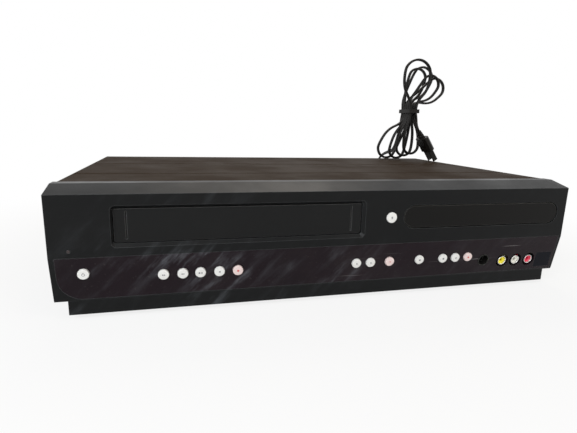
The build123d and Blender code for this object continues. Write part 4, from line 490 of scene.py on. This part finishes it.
def finish_of(
    name,
    colour,
    rough,
    metal=0.0,
    specular=0.5,
    second=None,
    grain_size=1200.0,
    bump=0.15,
    dust_amount=0.15,
    dust_colour=(0.30, 0.28, 0.25),
    wear=0.25,
    wear_colour=None,
    scratch=0.0,
    scratch_colour=(0.35, 0.33, 0.33),
    rough_spread=0.08,
    smear_and_glare=0.0,
    smear_and_glare_middle=-0.11,
):
    """A finish with grain, mottle, settled dust, edges lightened as rubbed paint and as a painted highlight and, where
    asked, scratches.
    """
    paint = bpy.data.materials.new(name)
    paint.use_nodes = True
    tree = paint.node_tree
    shader = tree.nodes["Principled BSDF"]
    shader.inputs["Metallic"].default_value = metal
    shader.inputs["Specular IOR Level"].default_value = specular
    place = tree.nodes.new("ShaderNodeTexCoord").outputs["Object"]
    texture = place_group(tree, grain, place, size=grain_size)
    edge_wear_and_highlight_marks = place_group(tree, edges, wear=wear)
    settled = place_group(tree, dust, place, amount=dust_amount)
    other = second or tuple(c * 0.8 for c in colour)
    tint = mix_colours(tree, texture.outputs["Mottle"], colour, other)
    # edges lightened partly as rubbed paint, partly as a painted highlight along them
    edge_wear_and_highlight_tint = wear_colour or tuple(min(1.0, c * 2.2 + 0.03) for c in colour)
    tint = mix_colours(tree, edge_wear_and_highlight_marks.outputs["Mask"], tint, edge_wear_and_highlight_tint)
    roughness = add_range(tree, texture.outputs["Mottle"], 0.3, 0.7, rough - rough_spread, rough + rough_spread)
    if scratch:
        scored = place_group(tree, scratches, place, amount=scratch)
        tint = mix_colours(tree, scored.outputs["Mask"], tint, scratch_colour)
        roughness = add_math(tree, "ADD", roughness, add_math(tree, "MULTIPLY", scored.outputs["Mask"], 0.4))
    # wipe marks together with a painted glare, strongest low down at one place along X
    if smear_and_glare:
        smear_and_glare_marks = place_group(tree, smears_and_glare, place, amount=smear_and_glare, middle=smear_and_glare_middle)
        tint = mix_colours(tree, smear_and_glare_marks.outputs["Mask"], tint, smear_and_glare_colour)
        roughness = add_math(tree, "ADD", roughness, add_math(tree, "MULTIPLY", smear_and_glare_marks.outputs["Mask"], 0.5))
    tint = mix_colours(tree, settled.outputs["Mask"], tint, dust_colour)
    roughness = add_math(tree, "ADD", roughness, add_math(tree, "MULTIPLY", settled.outputs["Mask"], 0.5), clamp=True)
    tree.links.new(tint, shader.inputs["Base Color"])
    tree.links.new(roughness, shader.inputs["Roughness"])
    relief = tree.nodes.new("ShaderNodeBump")
    relief.inputs["Strength"].default_value = bump
    relief.inputs["Distance"].default_value = 0.0002
    tree.links.new(texture.outputs["Height"], relief.inputs["Height"])
    tree.links.new(edge_wear_and_highlight_marks.outputs["Normal"], relief.inputs["Normal"])
    tree.links.new(relief.outputs["Normal"], shader.inputs["Normal"])
    return paint


finishes = {
    # the cover's brown base colour is black paint with a painted warm reflection of the room, its specular turned low;
    # its edges get a warm painted highlight
    "cover_steel": finish_of(
        "cover_steel",
        (0.0235, 0.0142, 0.0078),
        0.60,
        specular=0.02,
        second=(0.0205, 0.0125, 0.0070),
        dust_amount=0.03,
        dust_colour=(0.30, 0.24, 0.17),
        wear_colour=(0.14, 0.11, 0.08),
    ),
    "panel_black": finish_of(
        "panel_black",
        (0.0078, 0.0082, 0.0086),
        0.36,
        specular=0.09,
        second=(0.0056, 0.0058, 0.0060),
        dust_amount=0.03,
        # strong edge lightening: mostly a painted highlight along the panel's edges
        wear=0.6,
        wear_colour=(0.11, 0.115, 0.12),
        # wipe marks, with a painted glare low on the left of the panel
        smear_and_glare=0.12,
        smear_and_glare_middle=-0.13,
    ),
    "strip_gloss": finish_of(
        "strip_gloss",
        (0.0050, 0.0026, 0.0042),
        0.16,
        specular=0.13,
        second=(0.0085, 0.0030, 0.0060),
        scratch=0.9,
        bump=0.02,
        dust_amount=0.16,
        wear=0.4,
        wear_colour=(0.08, 0.075, 0.08),
        # wipe marks, with a painted glare low on the left of the strip
        smear_and_glare=0.30,
    ),
    "window_dark": finish_of("window_dark", (0.0020, 0.0026, 0.0060), 0.12, specular=0.08, bump=0.02, dust_amount=0.03),
    "door_black": finish_of(
        "door_black",
        (0.0070, 0.0072, 0.0074),
        0.38,
        specular=0.12,
        dust_amount=0.03,
        # strong edge lightening: mostly a painted highlight along the flap's edges
        wear=0.8,
        wear_colour=(0.13, 0.13, 0.13),
    ),
    "tray_black": finish_of(
        "tray_black",
        (0.0056, 0.0053, 0.0050),
        0.36,
        specular=0.10,
        dust_amount=0.04,
        # strong edge lightening: mostly a painted highlight along the tray front's edges
        wear=0.7,
        wear_colour=(0.10, 0.10, 0.09),
    ),
    "button_silver": finish_of("button_silver", (0.74, 0.735, 0.715), 0.34, bump=0.04, dust_amount=0.05, wear=0.1),
    "button_red": finish_of("button_red", (0.74, 0.60, 0.58), 0.34, bump=0.04, dust_amount=0.05, wear=0.1),
    "sheet_steel": finish_of("sheet_steel", (0.42, 0.42, 0.41), 0.40, metal=0.85, second=(0.34, 0.35, 0.36)),
    "aluminium": finish_of("aluminium", (0.62, 0.62, 0.63), 0.32, metal=1.0),
    "chrome": finish_of("chrome", (0.80, 0.79, 0.77), 0.22, metal=1.0, bump=0.03, dust_amount=0.05),
    "yellow": finish_of("yellow", (0.88, 0.74, 0.03), 0.38, bump=0.05, dust_amount=0.04),
    "white": finish_of("white", (0.76, 0.74, 0.66), 0.38, bump=0.05, dust_amount=0.04),
    "red": finish_of("red", (0.68, 0.02, 0.06), 0.38, bump=0.05, dust_amount=0.04),
    "rubber": finish_of("rubber", (0.016, 0.016, 0.017), 0.78, grain_size=900.0, bump=0.3),
    "cord_black": finish_of("cord_black", (0.0070, 0.0060, 0.0052), 0.40, specular=0.12, grain_size=1500.0, bump=0.2),
    "board": finish_of("board", (0.23, 0.17, 0.07), 0.5, second=(0.17, 0.14, 0.06)),
    "lens_clear": finish_of("lens_clear", (0.020, 0.012, 0.012), 0.10, dust_amount=0.05),
    "mech_plastic": finish_of("mech_plastic", (0.24, 0.24, 0.23), 0.5, second=(0.20, 0.20, 0.20)),
    "display_glass": finish_of("display_glass", (0.006, 0.010, 0.012), 0.08, dust_amount=0.03),
}
button_marks = finish_of("button_marks", (0.10, 0.10, 0.12), 0.5, bump=0.02, dust_amount=0.02, wear=0.0)
record_marks = finish_of("record_marks", (0.55, 0.05, 0.05), 0.5, bump=0.02, dust_amount=0.02, wear=0.0)

record = frame["record"]
for part in record["subparts"]:
    piece = frame["nodes"][part["node"]]
    piece.data.materials.clear()
    piece.data.materials.append(finishes[part["material_slot"]])


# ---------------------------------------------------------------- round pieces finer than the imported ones
face_y, strip_top = -142.25, 49.2
strip_lean = math.atan2(5.5, 32.7)
strip_frame = Matrix(
    (
        (1, 0, 0),
        (0, -math.sin(strip_lean), -math.cos(strip_lean)),
        (0, math.cos(strip_lean), -math.sin(strip_lean)),
    )
).to_4x4()
front_frame = Matrix(((1, 0, 0), (0, 0, -1), (0, 1, 0))).to_4x4()


def on_strip(x, z):
    """The place, in metres, of a feature at height z on the strip's face, turned to the strip."""
    down = (strip_top - z) / math.cos(strip_lean)
    return Matrix.Translation(mm(x, face_y + down * math.sin(strip_lean), z)) @ strip_frame


def on_front(x, z):
    """The same on the upright upper face."""
    return Matrix.Translation(mm(x, face_y, z)) @ front_frame


def settle(piece, place):
    """Puts a piece modelled round the origin at its place and leaves its object unturned."""
    bpy.ops.object.select_all(action="DESELECT")
    piece.select_set(True)
    bpy.context.view_layer.objects.active = piece
    piece.matrix_world = place
    bpy.ops.object.transform_apply(location=True, rotation=True, scale=True)
    return piece


def turned(name, profile, sides=48, closed=False):
    """A round piece along Z from its profile of (radius, height) in mm, each ring extruded from the one before.

    A closed profile comes back to its first point; any other has its two ends filled.
    """
    bpy.ops.object.select_all(action="DESELECT")
    first_radius, first_height = profile[0]
    bpy.ops.mesh.primitive_circle_add(
        vertices=sides,
        radius=first_radius / 1000.0,
        fill_type="NOTHING" if closed else "NGON",
        location=(0, 0, 0),
    )
    piece = bpy.context.object
    piece.name = name
    bpy.ops.object.mode_set(mode="EDIT")
    bpy.ops.mesh.select_all(action="SELECT")
    bpy.ops.transform.translate(value=(0, 0, first_height / 1000.0))
    rings = list(profile) + ([profile[0]] if closed else [])
    for (radius, height), (next_radius, next_height) in zip(rings, rings[1:]):
        bpy.ops.mesh.extrude_edges_move(TRANSFORM_OT_translate={"value": (0, 0, (next_height - height) / 1000.0)})
        grow = next_radius / radius
        bpy.ops.transform.resize(value=(grow, grow, 1), center_override=(0, 0, next_height / 1000.0))
    if closed:
        bpy.ops.mesh.select_all(action="SELECT")
        bpy.ops.mesh.remove_doubles(threshold=1e-6)
    else:
        bpy.ops.mesh.edge_face_add()
    bpy.ops.mesh.select_all(action="SELECT")
    bpy.ops.mesh.normals_make_consistent(inside=False)
    bpy.ops.object.mode_set(mode="OBJECT")
    bpy.ops.object.shade_smooth_by_angle(angle=math.radians(35))
    return piece


def block_of(name, middle, size):
    """A box from its middle and its size, in mm."""
    bpy.ops.object.select_all(action="DESELECT")
    bpy.ops.mesh.primitive_cube_add(size=1.0, location=mm(*middle))
    piece = bpy.context.object
    piece.name = name
    piece.scale = mm(*size)
    bpy.ops.object.transform_apply(location=True, rotation=True, scale=True)
    return piece


def prism_of(name, sides, radius, middle, height, turn=0.0):
    """An upright prism with a regular outline, in mm."""
    bpy.ops.object.select_all(action="DESELECT")
    bpy.ops.mesh.primitive_cylinder_add(
        vertices=sides,
        radius=radius / 1000.0,
        depth=height / 1000.0,
        location=mm(*middle),
        rotation=(0, 0, math.radians(turn)),
    )
    piece = bpy.context.object
    piece.name = name
    bpy.ops.object.transform_apply(location=True, rotation=True, scale=True)
    return piece


def join_of(name, pieces):
    """One object from several, which keep their own materials."""
    bpy.ops.object.select_all(action="DESELECT")
    for piece in pieces:
        piece.select_set(True)
    bpy.context.view_layer.objects.active = pieces[0]
    if len(pieces) > 1:
        bpy.ops.object.join()
    joined = bpy.context.view_layer.objects.active
    joined.name = name
    return joined


def painted(piece, paint):
    """Gives a piece its finish."""
    piece.data.materials.clear()
    piece.data.materials.append(paint)
    return piece


mark_top = 1.66
mark_wall = 0.10


def mark_bar(x, y, width, height):
    """A bar of a symbol."""
    return block_of("mark", (x, y, mark_top - mark_wall / 2), (width, height, mark_wall))


def mark_wedge(x, y, radius, turn):
    """A triangle of a symbol; its tip points away from turn, an angle measured from the right."""
    return prism_of("mark", 3, radius, (x, y, mark_top - mark_wall / 2), mark_wall, turn + 30.0 + 180.0)


def marks_of(kind):
    """The small symbol on a cap, as pieces round the origin."""
    if kind == "play":
        return [mark_wedge(0.1, 0, 1.0, 0)]
    if kind == "rewind":
        return [mark_wedge(-0.6, 0, 0.75, 180), mark_wedge(0.6, 0, 0.75, 180)]
    if kind == "forward":
        return [mark_wedge(-0.6, 0, 0.75, 0), mark_wedge(0.6, 0, 0.75, 0)]
    if kind == "eject":
        return [mark_wedge(0, 0.3, 0.95, 90), mark_bar(0, -0.75, 1.6, 0.4)]
    if kind == "stop_eject":
        return [mark_bar(-0.9, 0, 1.1, 1.1), mark_wedge(0.9, 0.2, 0.7, 90), mark_bar(0.9, -0.5, 1.2, 0.3)]
    if kind == "stop":
        return [mark_bar(0, 0, 1.4, 1.4)]
    if kind == "record":
        return [prism_of("mark", 24, 0.85, (0, 0, mark_top - mark_wall / 2), mark_wall)]
    if kind == "up":
        return [mark_wedge(0, 0, 0.9, 90)]
    if kind == "down":
        return [mark_wedge(0, 0, 0.9, -90)]
    if kind == "ring":
        ring = turned("mark", [(1.15, 1.5), (1.15, mark_top), (0.9, mark_top), (0.9, 1.5)], 24, closed=True)
        return [ring, mark_bar(0, 0.8, 0.3, 1.1)]
    return [mark_bar(-0.5, 0, 0.9, 0.35), mark_wedge(0.5, 0, 0.7, 0)]


caps = {
    "standby_button": (-195.9, 37.0, "ring"),
    "tape_rewind_button": (-141.2, 33.1, "rewind"),
    "tape_forward_button": (-127.2, 33.1, "forward"),
    "tape_eject_button": (-114.1, 33.1, "stop_eject"),
    "tape_play_button": (-99.8, 33.1, "play"),
    "tape_record_button": (-85.6, 33.1, "record"),
    "channel_down_button": (13.3, 33.1, "down"),
    "channel_up_button": (26.0, 33.1, "up"),
    "dubbing_button": (43.5, 33.1, "arrow"),
    "source_button": (71.9, 33.1, "stop"),
    "disc_stop_button": (95.0, 33.1, "stop"),
    "disc_play_button": (107.5, 33.1, "play"),
    "disc_record_button": (120.3, 33.1, "record"),
}
slot_of = {part["node"]: part["material_slot"] for part in record["subparts"]}
cap_profile = [(3.98, -6.3), (3.98, 1.15), (3.90, 1.42), (3.70, 1.56), (3.2, 1.60), (0.4, 1.62)]
tray_cap_profile = [(4.48, -3.7), (4.48, 0.60), (4.38, 0.84), (4.1, 0.96), (3.4, 1.00), (0.4, 1.02)]


def finished_cap(name, profile, kind, place, sink=0.0, stem=(-5.3, -7.3), reach=5.2):
    """A cap with its stop, its stem and its symbol, at its place in the panel."""
    paint = finishes[slot_of[name]]
    stop = block_of("stop", (0, 0, stem[0] - 0.5), (2 * reach, 4.0, 1.0))
    rod = block_of("rod", (0, 0, (stem[0] + stem[1]) / 2), (3.0, 3.0, stem[0] - stem[1]))
    body = [painted(part, paint) for part in (turned("cap", profile), stop, rod)]
    ink = record_marks if kind in ("record", "arrow") else button_marks
    marks = [painted(part, ink) for part in marks_of(kind)]
    for mark in marks:
        settle(mark, Matrix.Translation(mm(0, 0, sink)))
    cap = settle(join_of("finished_" + name, body + marks), place)
    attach(cap, name)
    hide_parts(name)
    return cap


for name, (x, z, kind) in caps.items():
    finished_cap(name, cap_profile, kind, on_strip(x, z))
tray_button_place = on_front(41.2, 71.7)
finished_cap("tray_button", tray_cap_profile, "eject", tray_button_place, sink=-0.60, stem=(-2.7, -4.7), reach=5.7)

phono_columns, phono_height = (159.1, 173.4, 187.9), 26.8
shell_profile = [
    (4.15, -7.5),
    (4.15, -0.45),
    (4.0, -0.3),
    (3.75, -0.3),
    (3.65, -0.45),
    (3.65, -10.7),
    (4.0, -10.7),
    (4.0, -7.5),
]
shells = []
for x in phono_columns:
    shell = painted(turned("shell", shell_profile, closed=True), finishes["chrome"])
    shells.append(settle(shell, on_strip(x, phono_height)))
front_shells = join_of("front_shells", shells)
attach(front_shells, "cabinet")
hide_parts("phono_shells")

# the lead's strain relief: a neck in the rear panel's hole, a flange against it, then a ribbed taper along +Y
back_frame = Matrix(((1, 0, 0), (0, 0, 1), (0, -1, 0))).to_4x4()
relief_column, relief_height = 178.0, 44.0
relief_foot, relief_total = 116.25, 27.0
widest_rib, narrowest_rib = 5.0, 2.9
rib_count, rib_start, rib_groove = 6, 6.0, 0.7
rib_pitch = (relief_total - rib_start) / rib_count
relief_profile = [(4.95, 0.0), (4.95, 3.0), (6.5, 3.0), (6.5, 5.4), (6.1, 6.0)]
for rib in range(rib_count):
    rib_radius = widest_rib - (widest_rib - narrowest_rib) * rib / (rib_count - 1)
    rib_foot = rib_start + rib * rib_pitch
    relief_profile.append((rib_radius - rib_groove, rib_foot + 0.05))
    relief_profile.append((rib_radius - rib_groove, rib_foot + 0.9))
    relief_profile.append((rib_radius, rib_foot + 1.2))
    relief_profile.append((rib_radius, rib_foot + rib_pitch - 0.3))
relief_profile.append((2.6, relief_total))
relief_place = Matrix.Translation(mm(relief_column, relief_foot, relief_height)) @ back_frame
lead_relief = painted(turned("lead_relief", relief_profile, 32), finishes["cord_black"])
lead_relief = settle(lead_relief, relief_place)
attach(lead_relief, "cabinet")
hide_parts("strain_relief")

# the lead's own finish, body and cord line
mains_lead.data.materials.append(finishes["cord_black"])
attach(mains_lead, "cabinet")
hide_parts("lead", "lead_hank")
